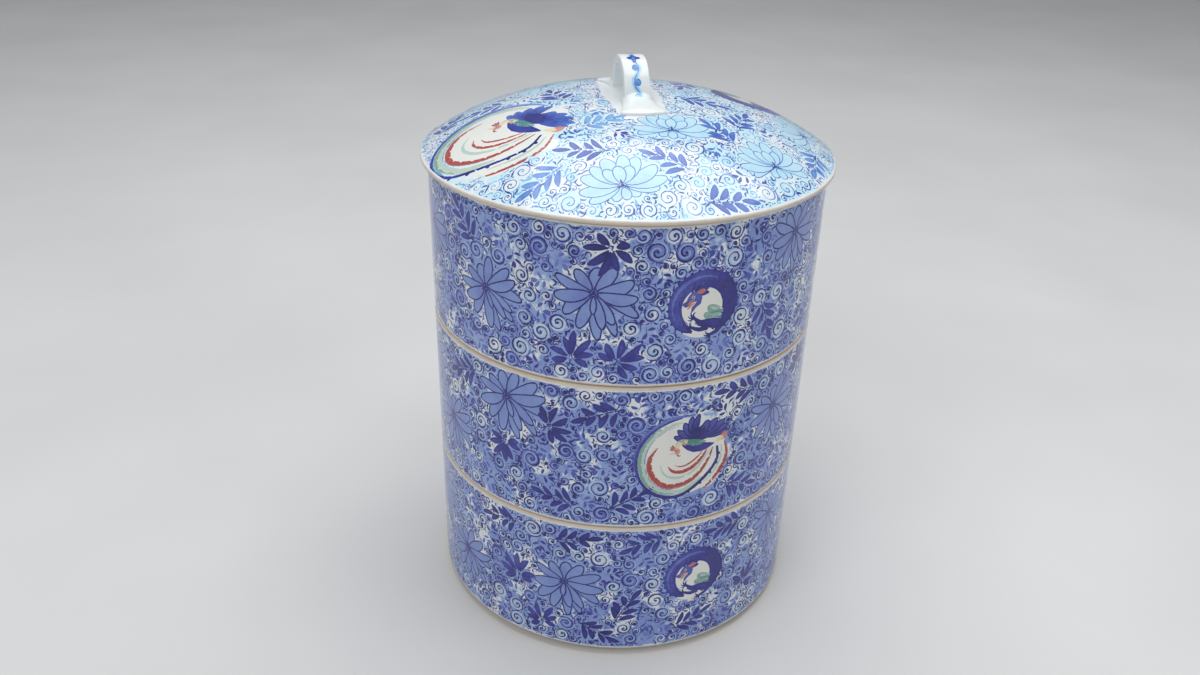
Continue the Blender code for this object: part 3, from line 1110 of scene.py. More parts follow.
def flat_cap(piece, z):
    """Select the round flat face on the axis at a height."""
    def on_cap(middle, face):
        return abs(middle.z - z) < SAME_PLACE and middle.xy.length < ON_AXIS

    bpy.ops.mesh.select_mode(type="FACE")
    select_where(piece, "faces", on_cap)


def box_shell(name, low, rim):
    """A box hollowed from a cylinder, with its outer wall left open for the painted surface."""
    shoulder = low + FOOT_DEPTH
    floor_z = low + FOOT_RECESS + FLOOR
    bpy.ops.object.select_all(action="DESELECT")
    bpy.ops.mesh.primitive_cylinder_add(
        vertices=COLUMNS,
        radius=BODY_RADIUS,
        depth=rim - shoulder,
        location=(0.0, 0.0, (rim + shoulder) / 2),
    )
    shell = bpy.context.object
    shell.name = name
    bpy.ops.object.transform_apply(location=True, rotation=True, scale=True)
    bpy.ops.object.mode_set(mode="EDIT")

    flat_cap(shell, rim)
    bpy.ops.mesh.inset(thickness=WALL)
    extrude(floor_z - rim)

    flat_cap(shell, shoulder)
    bpy.ops.mesh.inset(thickness=BODY_RADIUS - NEST_RADIUS)
    extrude(-FOOT_DEPTH)
    bpy.ops.mesh.inset(thickness=FOOT_RING)
    extrude(FOOT_RECESS)

    inner = BODY_RADIUS - WALL
    for radius, z, offset, segments in (
        (inner, floor_z, COVE, 8),
        (inner, rim, EDGE_ROUND, 4),
        (BODY_RADIUS, rim, EDGE_ROUND, 5),
        (BODY_RADIUS, shoulder, EDGE_ROUND, 5),
        (NEST_RADIUS, low, FOOT_ROUND, 3),
        (NEST_RADIUS - FOOT_RING, low, FOOT_ROUND, 3),
    ):
        ring_edges(shell, radius, z)
        bpy.ops.mesh.bevel(offset=offset, segments=segments, affect="EDGES")
    for z in (floor_z, low + FOOT_RECESS):
        flat_cap(shell, z)
        bpy.ops.mesh.inset(thickness=CAP_MARGIN)

    def on_outer_wall(middle, face):
        heights = [corner.co.z for corner in face.verts]
        return middle.xy.length > BODY_RADIUS - ON_AXIS and max(heights) - min(heights) > TALL_FACE

    select_where(shell, "faces", on_outer_wall)
    bpy.ops.mesh.delete(type="FACE")
    stop_editing()
    return shell


def dome_height(r):
    """Height of the dome's outer surface at a radius."""
    return LID_SEAT + LID_EDGE + LID_RISE * (1.0 - (r / LID_RADIUS) ** LID_CURVE)


def arc(centre, radius, start, end, steps):
    """Points (r, z) on an arc between two angles in degrees."""
    points = []
    for step in range(steps + 1):
        angle = math.radians(start + (end - start) * step / steps)
        points.append((centre[0] + radius * math.cos(angle), centre[1] + radius * math.sin(angle)))
    return points


def lid_shell(name):
    """The lid's edge, flange and hollow underside, spun from a profile and open on top."""
    edge_inner = LID_RADIUS - LID_EDGE_ROUND
    edge_top = LID_SEAT + LID_EDGE
    half_flange = FLANGE_THICKNESS / 2
    flange_inner = NEST_RADIUS - FLANGE_THICKNESS
    profile = [
        (edge_inner, dome_height(edge_inner)),
        (LID_RADIUS - 0.0002, edge_top - 0.0001),
        (LID_RADIUS, edge_top - LID_EDGE_ROUND / 2),
    ]
    profile += arc((edge_inner, LID_SEAT + LID_EDGE_ROUND), LID_EDGE_ROUND, 0, -90, 4)
    profile += [(NEST_RADIUS + FLANGE_BREAK, LID_SEAT), (NEST_RADIUS, LID_SEAT - FLANGE_BREAK)]
    end = (NEST_RADIUS - half_flange, LID_SEAT + half_flange - FLANGE_DEPTH)
    profile += arc(end, half_flange, 0, -180, 12)
    for step in range(UNDERSIDE_STEPS, -1, -1):
        r = flange_inner * step / UNDERSIDE_STEPS
        profile.append((r, dome_height(r) - LID_THICKNESS))

    mesh = bpy.data.meshes.new(name)
    edges = [(index, index + 1) for index in range(len(profile) - 1)]
    mesh.from_pydata([(r, 0.0, z) for r, z in profile], edges, [])
    shell = add_object(name, mesh)
    edit_all(shell)
    bpy.ops.mesh.spin(steps=COLUMNS, angle=math.tau, center=(0, 0, 0), axis=(0, 0, 1))
    weld()
    stop_editing()
    return shell


def close_over(shell, painted, normal_at):
    """Join the painted surface into its shell, weld them and give the painting true normals."""
    while shell.data.uv_layers:
        shell.data.uv_layers.remove(shell.data.uv_layers[0])
    shell.data.uv_layers.new(name="OFBake")
    only(shell)
    painted.select_set(True)
    bpy.ops.object.join()
    edit_all(shell)
    weld()
    bpy.ops.mesh.normals_make_consistent(inside=False)
    stop_editing()
    bpy.ops.object.shade_smooth_by_angle(angle=math.radians(40))
    mesh = shell.data
    normals = [normal_at(vertex.co) for vertex in mesh.vertices]
    unwrap_shell(mesh, [normal.length > 0.5 for normal in normals])
    mesh.normals_split_custom_set_from_vertices(normals)


def unwrap_shell(mesh, on_painting):
    """Map the plain faces above the painting: flat ones in plan, upright ones as bands.

    On the map's top strip the plans lie at the left, the upper sides first, and the bands at
    the right, the inward ones below the outward ones.
    """
    heights = [vertex.co.z for vertex in mesh.vertices]
    bottom = min(heights)
    span = max(heights) - bottom
    layer = mesh.uv_layers["OFBake"]
    for face in mesh.polygons:
        if all(on_painting[index] for index in face.vertices):
            continue
        centre = face.center
        normal = face.normal
        flat = abs(normal.z) > 0.7 or centre.xy.length < ON_AXIS
        left = 0.005 if normal.z > 0.0 else 0.195
        row = 0.81 if normal.xy.dot(centre.xy) < 0.0 else 0.91
        middle = math.atan2(centre.y, centre.x)
        for loop in face.loop_indices:
            point = mesh.vertices[mesh.loops[loop].vertex_index].co
            if flat:
                u = left + 0.18 * (0.5 + point.x / LID_RADIUS / 2)
                v = 0.81 + 0.18 * (0.5 + point.y / LID_RADIUS / 2)
            else:
                swing = (math.atan2(point.y, point.x) - middle + math.pi) % math.tau - math.pi
                u = 0.39 + 0.60 * ((middle + swing) / math.tau + 0.5)
                v = row + 0.08 * (point.z - bottom) / span
            layer.uv[loop].vector = (clamp(u), v)


def mark_bare(piece, bare_at):
    """Write how bare of glaze each point is, from 0 to 1."""
    values = [bare_at(vertex.co.xy.length, vertex.co.z) for vertex in piece.data.vertices]
    write_attribute(piece.data, "bare", "POINT", values)


# Materials

def dress(piece, glaze):
    """Give a piece one material alone."""
    piece.data.materials.clear()
    piece.data.materials.append(glaze)


def math_operator(operation):
    """A method that adds one Math node."""
    def method(self, *others):
        return self.maths(operation, *others)

    return method


class Value:
    """A node socket that Python's operators turn into Math nodes."""

    def __init__(self, shader, socket):
        self.shader = shader
        self.socket = socket

    def maths(self, operation, *others):
        inputs = dict(enumerate((self, *others)))
        return self.shader.add("ShaderNodeMath", {"operation": operation}, inputs)[0]

    __add__ = __radd__ = math_operator("ADD")
    __sub__ = math_operator("SUBTRACT")
    __mul__ = __rmul__ = math_operator("MULTIPLY")
    __truediv__ = math_operator("DIVIDE")
    sine = math_operator("SINE")
    cosine = math_operator("COSINE")
    size = math_operator("ABSOLUTE")
    root = math_operator("SQRT")
    power = math_operator("POWER")
    fraction = math_operator("FRACT")
    swing_from = math_operator("ARCTAN2")
    or_more = math_operator("MAXIMUM")

    def __rsub__(self, other):
        return (self * -1.0) + other

    def near(self, number):
        """1 within a half of a number, else 0."""
        return self.maths("COMPARE", number, 0.5)

    def above(self, low, high):
        """0 below low and 1 above high, with a smooth rise between."""
        inputs = {0: self, 1: low, 2: high, 3: 0.0, 4: 1.0}
        return self.shader.add("ShaderNodeMapRange", {"interpolation_type": "SMOOTHSTEP"}, inputs)[0]

    def below(self, low, high):
        return 1.0 - self.above(low, high)

    def blend(self, other, share):
        """This value moved towards another by a share."""
        return self + (other - self) * share


class Shader:
    """A material's node tree, built one node at a time."""

    def __init__(self, name):
        self.material = bpy.data.materials.new(name)
        self.material.use_nodes = True
        self.tree = self.material.node_tree
        self.surface = self.tree.nodes["Principled BSDF"]
        coordinates = self.tree.nodes.new("ShaderNodeTexCoord")
        self.place = Value(self, coordinates.outputs["Object"])

    def add(self, kind, settings, inputs):
        """Add a node of a kind, with its settings first and then its sockets' values or links."""
        node = self.tree.nodes.new(kind)
        for key, value in settings.items():
            setattr(node, key, value)
        for key, value in inputs.items():
            self.feed(node.inputs[key], value)
        return [Value(self, output) for output in node.outputs]

    def feed(self, socket, value):
        if isinstance(value, Value):
            self.tree.links.new(value.socket, socket)
        else:
            socket.default_value = value

    def attribute(self, name):
        """A named attribute's outputs: colour, vector, value and alpha."""
        return self.add("ShaderNodeAttribute", {"attribute_name": name}, {})

    def number(self, name):
        """A named attribute's value."""
        return self.attribute(name)[2]

    def noise(self, scale, detail=2.0, roughness=0.5):
        inputs = {"Vector": self.place, "Scale": scale, "Detail": detail, "Roughness": roughness}
        return self.add("ShaderNodeTexNoise", {}, inputs)[0]

    def mix(self, factor, first, second):
        """A colour between two colours. Sockets 6 and 7 are the node's colours."""
        return self.add("ShaderNodeMix", {"data_type": "RGBA"}, {0: factor, 6: first, 7: second})[2]

    def ramp(self, factor, stops):
        """A colour from stops, each a place from 0 to 1 and a colour."""
        shade = self.add("ShaderNodeValToRGB", {}, {"Fac": factor})[0]
        elements = shade.socket.node.color_ramp.elements
        while len(elements) < len(stops):
            elements.new(0.5)
        for element, (position, colour) in zip(elements, stops):
            element.position = position
            element.color = (*colour, 1.0)
        return shade

    def bump(self, height, distance, strength):
        inputs = {"Height": height, "Distance": distance, "Strength": strength}
        return self.add("ShaderNodeBump", {}, inputs)[0]

    def finish(self, **sockets):
        """Feed the surface's sockets, named with _ for a space, and give the material."""
        for name, value in sockets.items():
            self.feed(self.surface.inputs[name.replace("_", " ")], value)
        return self.material


COBALT_STOPS = (
    (0.00, (0.700, 0.720, 0.710)),
    (0.14, (0.430, 0.535, 0.680)),
    (0.32, (0.215, 0.305, 0.590)),
    (0.58, (0.085, 0.110, 0.420)),
    (0.80, (0.032, 0.032, 0.250)),
    (1.00, (0.011, 0.012, 0.120)),
)
# The lid's and handle's cobalt: their own blue with painted light worked in, paler and more cyan than the
# walls' for the glare on the brightly lit top
LID_STOPS_WITH_PAINTED_LIGHT = (
    (0.00, (0.730, 0.755, 0.755)),
    (0.14, (0.490, 0.715, 0.800)),
    (0.32, (0.235, 0.480, 0.745)),
    (0.58, (0.075, 0.165, 0.520)),
    (0.80, (0.028, 0.044, 0.320)),
    (1.00, (0.010, 0.014, 0.140)),
)
# Bare biscuit tones: the clay's own colour, darkened as painted shade too, for the shade on upright bare
# edges such as the lid's
BARE_TONE_AND_SHADE = (0.56, 0.46, 0.36, 1.0)
BURNT_TONE_AND_SHADE = (0.42, 0.30, 0.21, 1.0)
IRON = (0.16, 0.10, 0.06, 1.0)

Hand = namedtuple("Hand", "wash white line weight outline")
COIL_POWER = 1.4
BOX_HAND = Hand(wash=0.31, white=0.46, line=0.97, weight=1.25, outline=0.60)
LID_HAND = Hand(wash=0.11, white=0.49, line=0.74, weight=0.60, outline=0.34)


def coil_lines(x, y, size, turns, weight):
    """Dark line and light line of a curl, and how far into the curl the point is."""
    r = (x * x + y * y).root()
    swing = y.swing_from(x) / math.tau
    winding = (swing + turns * r.power(COIL_POWER)).fraction()
    pitch = size / (turns * COIL_POWER * (r.power(COIL_POWER - 1.0) + 0.05))
    swell = ((swing - 0.12) * math.tau).cosine() * 0.5 + 0.5
    half = weight * (0.11 + 0.34 * swell * r)
    away = (winding - 0.5).size() * pitch
    dark = away.below(half, half + 0.11)
    eye = (r * size).below(0.38 * weight, 0.38 * weight + 0.16)
    light = ((winding - 0.84).size() * pitch).below(0.2, 0.42) * r.above(0.15, 0.3)
    return dark.or_more(eye), light, r.below(0.92, 1.02)


def comma_shape(x, y, size):
    """Whether a point is in a comma, which runs from its tail at -1 to its head at 1."""
    run = (x + 1.0).or_more(0.0)
    rest = (1.0 - x).or_more(0.0)
    half = 0.34 * run.power(0.8) * rest.root()
    bend = 0.35 * x * x - 0.12
    return ((half - (y - bend).size()) * size).above(0.0, 0.12)


def brushwork(hand):
    """The painting as the sheet's attributes give it, over a washed ground, in one hand."""
    def painting(shader):
        spread_out = shader.noise(80.0, 3.0, 0.62)
        dabbed = shader.noise(430.0, 2.0)
        deep = shader.noise(34.0, 1.0)
        reach = (shader.number("washed") + 0.5 * (dabbed - 0.5)).above(0.15, 0.6)
        covered = (spread_out + 0.22 * (dabbed - 0.5)).above(hand.white - 0.08, hand.white + 0.04)
        wash = covered * reach * hand.wash * (0.55 + 0.9 * deep)
        wobble = shader.noise(1000.0, 1.0) - 0.5

        def on_ground(value):
            return wash.blend(value, value.above(-0.6, -0.4))

        kind = shader.number("kind")
        depth = shader.number("edge") + 0.20 * wobble
        under = on_ground(shader.number("under"))
        own = on_ground(shader.number("cobalt"))
        own = own.blend(hand.line, kind.near(PETAL) * depth.below(hand.outline - 0.1, hand.outline + 0.1))
        own = own * (1.0 - 0.08 * kind.near(DAB) * depth.above(0.5, 1.2))

        given = shader.attribute("coil")
        x, y, size = shader.add("ShaderNodeSeparateXYZ", {}, {0: given[0]})
        x = x + wobble * 0.17
        y = y - wobble * 0.13
        dark, light, inside = coil_lines(x, y, size, given[3], hand.weight)
        coiled = own * (1.0 - 0.45 * light)
        coiled = coiled.blend(shader.number("line"), dark)
        own = own.blend(coiled, kind.near(CURL))
        shown = depth.above(0.0, 0.13).blend(inside, kind.near(CURL))
        shown = shown.blend(comma_shape(x, y, size), kind.near(COMMA))
        over = shader.attribute("enamel")
        strength = under.blend(own, shown * (1.0 - over[3].above(0.3, 0.5)))
        return strength, over[3] * shown, over[0]

    return painting


VINE_RADIUS = 16.0
VINE_STEP = 5.2


def vine(shader):
    """A winding vine with a curl in each bend, and a flower on the strap's crown."""
    along = shader.number("along")
    across = shader.number("across")
    face = shader.number("face")
    wobble = shader.noise(500.0, 1.0) - 0.5
    across = across + 0.5 * wobble
    from_crown = along - math.pi * VINE_RADIUS / 2
    phase = from_crown * (math.pi / VINE_STEP)
    side = phase.sine().maths("SIGN")
    stem = (across - 1.15 * phase.sine()).size()
    between = ((from_crown / VINE_STEP).fraction() - 0.5) * VINE_STEP
    inward = across + 0.25 * side
    away = (between * between + inward * inward).root()
    curl = (away - 0.95).size().below(0.22, 0.5).or_more(away.below(0.42, 0.7))
    from_bloom = from_crown + 3.0
    from_middle = (from_bloom * from_bloom + across * across).root()
    lobes = 2.2 + 0.7 * (across.swing_from(from_bloom) * 4.0).cosine()
    bloom = (lobes - from_middle).above(-0.1, 0.3) * from_middle.above(0.3, 0.7)
    wash = stem.below(0.9, 1.6).or_more(away.below(1.2, 1.7))
    marks = (wash * 0.20).or_more(stem.below(0.24, 0.55) * 0.46)
    marks = marks.or_more(curl * 0.55).or_more(bloom * 0.72)
    return face * marks * (1.0 + 0.8 * wobble), 0.0, (0.0, 0.0, 0.0, 1.0)


def glazed_porcelain(name, painting, stops):
    """Clear glaze over white porcelain, with cobalt under it, enamel over it and bare rims."""
    shader = Shader(name)
    pool = shader.noise(150.0, 3.0, 0.55)
    streak = shader.noise(850.0, 2.0, 0.6)
    drift = shader.noise(22.0, 2.0)
    strength, cover, enamel_colour = painting(shader)
    uneven = 0.76 + 0.34 * pool + 0.20 * streak
    haze = 0.04 * pool.above(0.42, 0.75)
    colour = shader.ramp(strength * uneven + haze, stops)
    cover = cover * (0.80 + 0.30 * streak)
    colour = shader.mix(cover, colour, enamel_colour)
    specks = shader.add("ShaderNodeTexVoronoi", {}, {"Vector": shader.place, "Scale": 95.0})[0]
    colour = shader.mix(specks.below(0.012, 0.03) * pool.above(0.52, 0.6) * 0.7, colour, IRON)

    bare = (shader.attribute("bare")[2] + 0.3 * (shader.noise(420.0, 3.0) - 0.5)).above(0.35, 0.75)
    # Bare places take the biscuit tones, which carry painted shade as well as the clay's own colour
    bare_tone_and_shade = shader.mix(shader.noise(160.0, 3.0).above(0.5, 0.8) * 0.6, BARE_TONE_AND_SHADE, BURNT_TONE_AND_SHADE)
    colour = shader.mix(bare * 0.85, colour, bare_tone_and_shade)
    glaze_wave = shader.noise(210.0, 2.0)
    grain = shader.noise(2600.0, 3.0)
    relief = 0.35 * glaze_wave * (1.0 - bare) + cover * 0.5 + bare * grain * 0.6
    roughness = (0.08 + 0.05 * drift + 0.06 * cover).blend(0.6, bare)
    normal = shader.bump(relief, 0.00006, 0.6)
    return shader.finish(Base_Color=colour, Roughness=roughness, Normal=normal, IOR=1.52)


# Pieces

UPPER_MOTIFS = (
    (dragon_ring, 9, 32.5, 0), (dragon_ring, 129, 35.0, 0), (dragon_ring, -111, 33.0, 0),
    (star_flower, -19.3, 38.5, 0), (star_flower, -51, 31.0, 25), (star_flower, 39, 54.0, 0),
    (star_flower, 74, 33.0, 0), (star_flower, 102, 48.0, 20), (star_flower, 158, 29.0, 0),
    (star_flower, -172, 52.0, 30), (star_flower, -144, 27.0, 10), (star_flower, -80, 46.0, 0),
    (leaf_burst, -15, 57.0, 250), (leaf_burst, -25, 10.0, 80), (leaf_burst, -13, 10.0, 50),
    (sprig, 29, 22.0, 290), (sprig, 54, 11.0, 190), (sprig, 57, 40.0, 60), (leaf_burst, 88, 11.0, 80),
    (sprig, 116, 12.0, 150), (sprig, 142, 54.0, 200), (leaf_burst, 176, 16.0, 40),
    (sprig, -163, 12.0, 190), (leaf_burst, -127, 54.0, 300), (sprig, -93, 12.0, 170),
    (sprig, -58, 54.0, 130), (sprig, -95, 58.0, 30),
)
MIDDLE_MOTIFS = (
    (phoenix, 7, 32.5, 0), (phoenix, 127, 32.0, 0), (phoenix, -113, 33.0, 0),
    (star_flower, -44.3, 53.5, 15), (star_flower, 38, 43.5, 10), (star_flower, -70, 27.0, 0),
    (star_flower, 64, 26.0, 0), (star_flower, 93, 49.0, 0), (star_flower, 158, 45.0, 30),
    (star_flower, -170, 27.0, 0), (star_flower, -143, 49.0, 0), (star_flower, -85, 50.0, 0),
    (leaf_burst, -45, 31.0, 270), (leaf_burst, -31, 45.0, 30), (sprig, -16, 54.0, 200),
    (sprig, -9, 12.0, 30), (sprig, -28, 10.0, 170), (sprig, 25, 12.0, 340), (sprig, 24, 59.0, 170),
    (leaf_burst, 52, 55.0, 100), (sprig, 82, 12.0, 200), (sprig, 106, 16.0, 60),
    (leaf_burst, 109, 57.0, 200), (sprig, 147, 11.0, 0), (leaf_burst, 178, 56.0, 250),
    (sprig, -151, 14.0, 190), (sprig, -131, 12.0, 0), (leaf_burst, -92, 14.0, 70),
    (sprig, -131, 58.0, 170), (sprig, -61, 56.0, 200),
)
LOWER_MOTIFS = (
    (dragon_ring, 13, 36.5, 0), (dragon_ring, 133, 34.0, 0), (dragon_ring, -107, 36.0, 0),
    (star_flower, -26, 35.0, 0), (star_flower, -64, 27.0, 20), (star_flower, 44, 50.0, 0),
    (star_flower, 72, 26.0, 10), (star_flower, 102, 47.0, 0), (star_flower, 160, 52.0, 0),
    (star_flower, -176, 24.0, 0), (star_flower, -150, 47.0, 0), (star_flower, -82, 50.0, 15),
    (leaf_burst, -41, 31.0, 90), (sprig, -24, 58.0, 10), (leaf_burst, -33, 9.0, 100),
    (sprig, -17, 9.0, 330), (sprig, -8, 21.0, 60), (sprig, -2, 58.0, 200), (sprig, 12, 11.0, 20),
    (leaf_burst, 33, 20.0, 60), (sprig, 56, 9.0, 170), (sprig, 24, 59.0, 180), (sprig, 66, 54.0, 20),
    (leaf_burst, 90, 11.0, 90), (sprig, 117, 12.0, 200), (sprig, 149, 14.0, 30),
    (leaf_burst, -163, 58.0, 250), (sprig, -157, 10.0, 180), (sprig, -128, 58.0, 10),
    (sprig, -128, 11.0, 200), (leaf_burst, -90, 14.0, 80), (sprig, -46, 58.0, 190),
)
LID_FLOWERS = (
    (-16.8 - 71.5j, 4), (46.0 - 57.0j, 20), (8.3 - 41.5j, 350), (71.0 - 19.0j, 60), (17.0 + 43.0j, 170),
    (58.0 + 45.0j, 130), (-24.0 + 68.0j, 190), (-64.0 + 36.0j, 250), (-32.0 + 29.0j, 215),
    (22.0 + 74.0j, 160),
)
LID_SPRIGS = (
    (-26.0 - 50.0j, 160), (3.5 - 62.0j, 145), (28.0 - 42.0j, 120), (-19.0 - 31.0j, 20),
    (40.0 - 29.0j, 60), (-43.0 - 60.0j, 210), (68.0 - 43.0j, 250), (27.0 - 10.0j, 340),
    (-30.0 + 4.0j, 100), (-58.0 + 12.0j, 170), (-3.0 + 63.0j, 80), (41.0 + 64.0j, 40),
    (-46.0 + 58.0j, 150), (-6.0 + 42.0j, 190), (38.0 + 36.0j, 200), (76.0 + 22.0j, 90),
    (-76.0 + 14.0j, 60), (20.0 - 79.0j, 10), (28.0 + 20.0j, 250),
)


def paint_wall(field, motifs, tone, seed):
    """Lay one tier's motifs, each a kind, azimuth, height and turn, and fill round them."""
    rng = random.Random(seed)
    sheet = Sheet()
    for kind, degrees, height, heading in motifs:
        place = complex(math.radians(degrees) * field.radius, height)
        scale = 1.0 if kind in (dragon_ring, phoenix) else rng.uniform(0.94, 1.05)
        kind(Brush(sheet, place, heading, scale), rng)
    fill_with_scrollwork(sheet, field, BOX_CURLS, tone, rng)
    return sheet


def paint_dome(field, seed):
    """Lay the lid's two roundels, its flowers and sprigs, and fill round them."""
    rng = random.Random(seed)
    sheet = Sheet()
    for height in range(-24, 25, 8):
        sheet.guards.append((height * 1j, 12.0 - abs(height) / 10.0))
    phoenix(Brush(sheet, -57.0 - 22.0j, -46, 1.3), rng, 0.66)
    dragon_ring(Brush(sheet, 55.0 + 13.0j, 200, 1.1), rng)
    for place, heading in LID_FLOWERS:
        lotus(Brush(sheet, place, heading, rng.uniform(0.94, 1.02)), rng)
    for place, heading in LID_SPRIGS:
        pale_sprig(Brush(sheet, place, heading), rng)
    fill_with_scrollwork(sheet, field, LID_CURLS, LID_TONE, rng)
    return sheet


def build_tier(name, motifs, tone, seed, glaze):
    """One box: hollowed shell, painted wall, bare rim and foot."""
    low, rim = (corner[2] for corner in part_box(name))
    shoulder = low + FOOT_DEPTH
    bottom = shoulder + EDGE_ROUND
    top = rim - EDGE_ROUND
    field = WallField(BODY_RADIUS / MM, (top - bottom) / MM)

    def place(point):
        angle = point.real / field.radius
        return (BODY_RADIUS * math.sin(angle), -BODY_RADIUS * math.cos(angle), bottom + point.imag * MM)

    def normal_at(point):
        outward = Vector((point.x, point.y, 0.0))
        at_height = bottom - ON_SURFACE < point.z < top + ON_SURFACE
        on_wall = at_height and outward.length > BODY_RADIUS - ON_SURFACE
        return outward.normalized() if on_wall else Vector()

    def bare_at(r, z):
        """Bare on the rim and foot, with the glaze wiped thin beside them."""
        for away, bare_within, bare_beyond, thin in (
            (rim - z, 0.0002, BODY_RADIUS - WALL + 0.0004, 0.55),
            (z - shoulder, 0.0001, NEST_RADIUS - FOOT_RING - 0.001, 0.5),
        ):
            if away < bare_within and r > bare_beyond:
                return 1.0
            if away < 1.05 * EDGE_ROUND and r > BODY_RADIUS - WALL / 2:
                return 0.8 if away < 0.7 * EDGE_ROUND else thin
        return 0.0

    painted = painted_surface(name + "_wall", paint_wall(field, motifs, tone, seed), field, place)
    shell = box_shell("painted_" + name, low, rim)
    close_over(shell, painted, normal_at)
    mark_bare(shell, bare_at)
    dress(shell, glaze)
    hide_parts(name)
    return shell


def build_lid(seed, glaze):
    """The lid: spun shell with the painted dome welded over it."""
    field = DomeField((LID_RADIUS - LID_EDGE_ROUND) / MM)

    def place(point):
        return (point.real * MM, point.imag * MM, dome_height(abs(point) * MM))

    def normal_at(point):
        r = math.hypot(point.x, point.y)
        if r > LID_RADIUS - LID_EDGE_ROUND + ON_SURFACE or abs(point.z - dome_height(r)) > ON_SURFACE:
            return Vector()
        slope = LID_RISE * LID_CURVE / LID_RADIUS * (r / LID_RADIUS) ** (LID_CURVE - 1.0)
        outward = Vector((point.x, point.y, 0.0)) / (r or 1.0)
        return (outward * slope + Vector((0.0, 0.0, 1.0))).normalized()

    def bare_at(r, z):
        """Bare on the seat and flange, with the glaze wiped thin low round the edge; the clay higher up the
        edge is painted shade on that upright face.
        """
        if z < LID_SEAT + 0.0001 and r > NEST_RADIUS - FLANGE_THICKNESS - 0.0002:
            return 1.0
        # The upper part of the upright edge: the clay colour here is painted shade
        if r > LID_RADIUS - 0.0003 and z > LID_SEAT + 0.0012:
            return 0.6
        return 0.8 if z < LID_SEAT + 0.0012 and r > NEST_RADIUS + 0.002 else 0.0

    painted = painted_surface("lid_dome", paint_dome(field, seed), field, place)
    shell = lid_shell("painted_lid")
    close_over(shell, painted, normal_at)
    mark_bare(shell, bare_at)
    dress(shell, glaze)
    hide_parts("lid")
    return shell


# The handle, as the frame has it
SPAN = 0.0330
STRAP_WIDTH = 0.0108
STRAP_THICKNESS = 0.0038
ARCH_POWER = 2.2
STRAP_REACH = 0.0185
ARCH_SPRING = DOME_APEX - 0.0050
PAD_LENGTH = 0.0130
PAD_NECK_HALF_WIDTH = 0.0064
PAD_FLARE = 0.0032
PAD_ROUNDING = 0.0022
PAD_EDGE = 0.0008
PAD_CREST = 0.0012
PAD_FILLET = 0.0030
PAD_GAP = 0.0003
PAD_DEPTH = 0.0042
HANDLE_VOXEL = 0.0004


def arch_place(share, depth):
    """A point (y, z) on the strap: share runs over the arch, depth lies across its thickness."""
    half_span = SPAN / 2 - STRAP_THICKNESS / 2 + depth
    rise = STRAP_TOP - STRAP_THICKNESS / 2 + depth - ARCH_SPRING
    angle = math.pi * share
    exponent = 2.0 / ARCH_POWER
    side = -1.0 if share < 0.5 else 1.0
    y = side * half_span * abs(math.cos(angle)) ** exponent
    return y, ARCH_SPRING + rise * abs(math.sin(angle)) ** exponent


def shape_strap():
    """Bend a cut block over the arch."""
    bpy.ops.object.select_all(action="DESELECT")
    bpy.ops.mesh.primitive_cube_add(size=1.0, location=(0.0, 0.5, 0.0))
    strap = bpy.context.object
    bpy.ops.object.transform_apply(location=True, rotation=True, scale=True)
    edit_all(strap)
    bpy.ops.mesh.subdivide(number_cuts=40)
    stop_editing()
    for vertex in strap.data.vertices:
        x, share, depth = vertex.co
        y, z = arch_place(share, depth * STRAP_THICKNESS)
        vertex.co = (x * STRAP_WIDTH, y, z)
    return strap


def shape_pad(side):
    """Draw a cut plate out into one flared pad on the dome."""
    bpy.ops.object.select_all(action="DESELECT")
    bpy.ops.mesh.primitive_grid_add(x_subdivisions=24, y_subdivisions=24, size=2.0)
    pad = bpy.context.object
    neck = SPAN / 2 - STRAP_THICKNESS
    front = SPAN / 2 + PAD_LENGTH
    for vertex in pad.data.vertices:
        across = vertex.co.x
        share = (vertex.co.y + 1.0) / 2
        reach = front - PAD_ROUNDING * across ** 2
        y = neck + (reach - neck) * share
        x = (PAD_NECK_HALF_WIDTH + PAD_FLARE * share ** 1.8) * across
        crest = PAD_CREST + PAD_FILLET * (1.0 - share) ** 2.5
        top = PAD_EDGE + crest * (1.0 - abs(across) ** 3) * (1.0 - share ** 5)
        vertex.co = (x, side * y, dome_height(math.hypot(x, y)) + PAD_GAP + top)
    edit_all(pad)
    extrude(-PAD_DEPTH)
    bpy.ops.mesh.select_all(action="SELECT")
    bpy.ops.mesh.normals_make_consistent(inside=False)
    stop_editing()
    return pad


def apply_modifier(piece, kind, **settings):
    """Add a modifier with its settings and apply it."""
    modifier = piece.modifiers.new(kind.title(), kind)
    for name, value in settings.items():
        setattr(modifier, name, value)
    bpy.ops.object.modifier_apply(modifier=modifier.name)


def build_handle(glaze):
    """The strap and its pads, run together as one soft form under the glaze."""
    strap = shape_strap()
    pads = [shape_pad(-1.0), shape_pad(1.0)]
    only(strap)
    for pad in pads:
        pad.select_set(True)
    bpy.ops.object.join()
    strap.name = "glazed_handle"
    apply_modifier(strap, "REMESH", mode="VOXEL", voxel_size=HANDLE_VOXEL)
    apply_modifier(strap, "SMOOTH", factor=0.5, iterations=8)
    bpy.ops.object.shade_smooth()

    centre = Vector((0.0, 0.0, ARCH_SPRING))
    rows = []
    for vertex in strap.data.vertices:
        away = Vector((0.0, vertex.co.y, vertex.co.z - centre.z)).normalized()
        on_strap = clamp((STRAP_REACH - abs(vertex.co.y)) / MM)
        facing = clamp((vertex.normal.dot(away) - 0.55) / 0.3)
        along = math.atan2(away.z, -away.y) * VINE_RADIUS
        rows.append((along, vertex.co.x / MM, facing * on_strap))
    for name, values in zip(("along", "across", "face"), zip(*rows)):
        write_attribute(strap.data, name, "POINT", values)
    dress(strap, glaze)
    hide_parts("handle_strap", "handle_pad_front", "handle_pad_rear")
    return strap


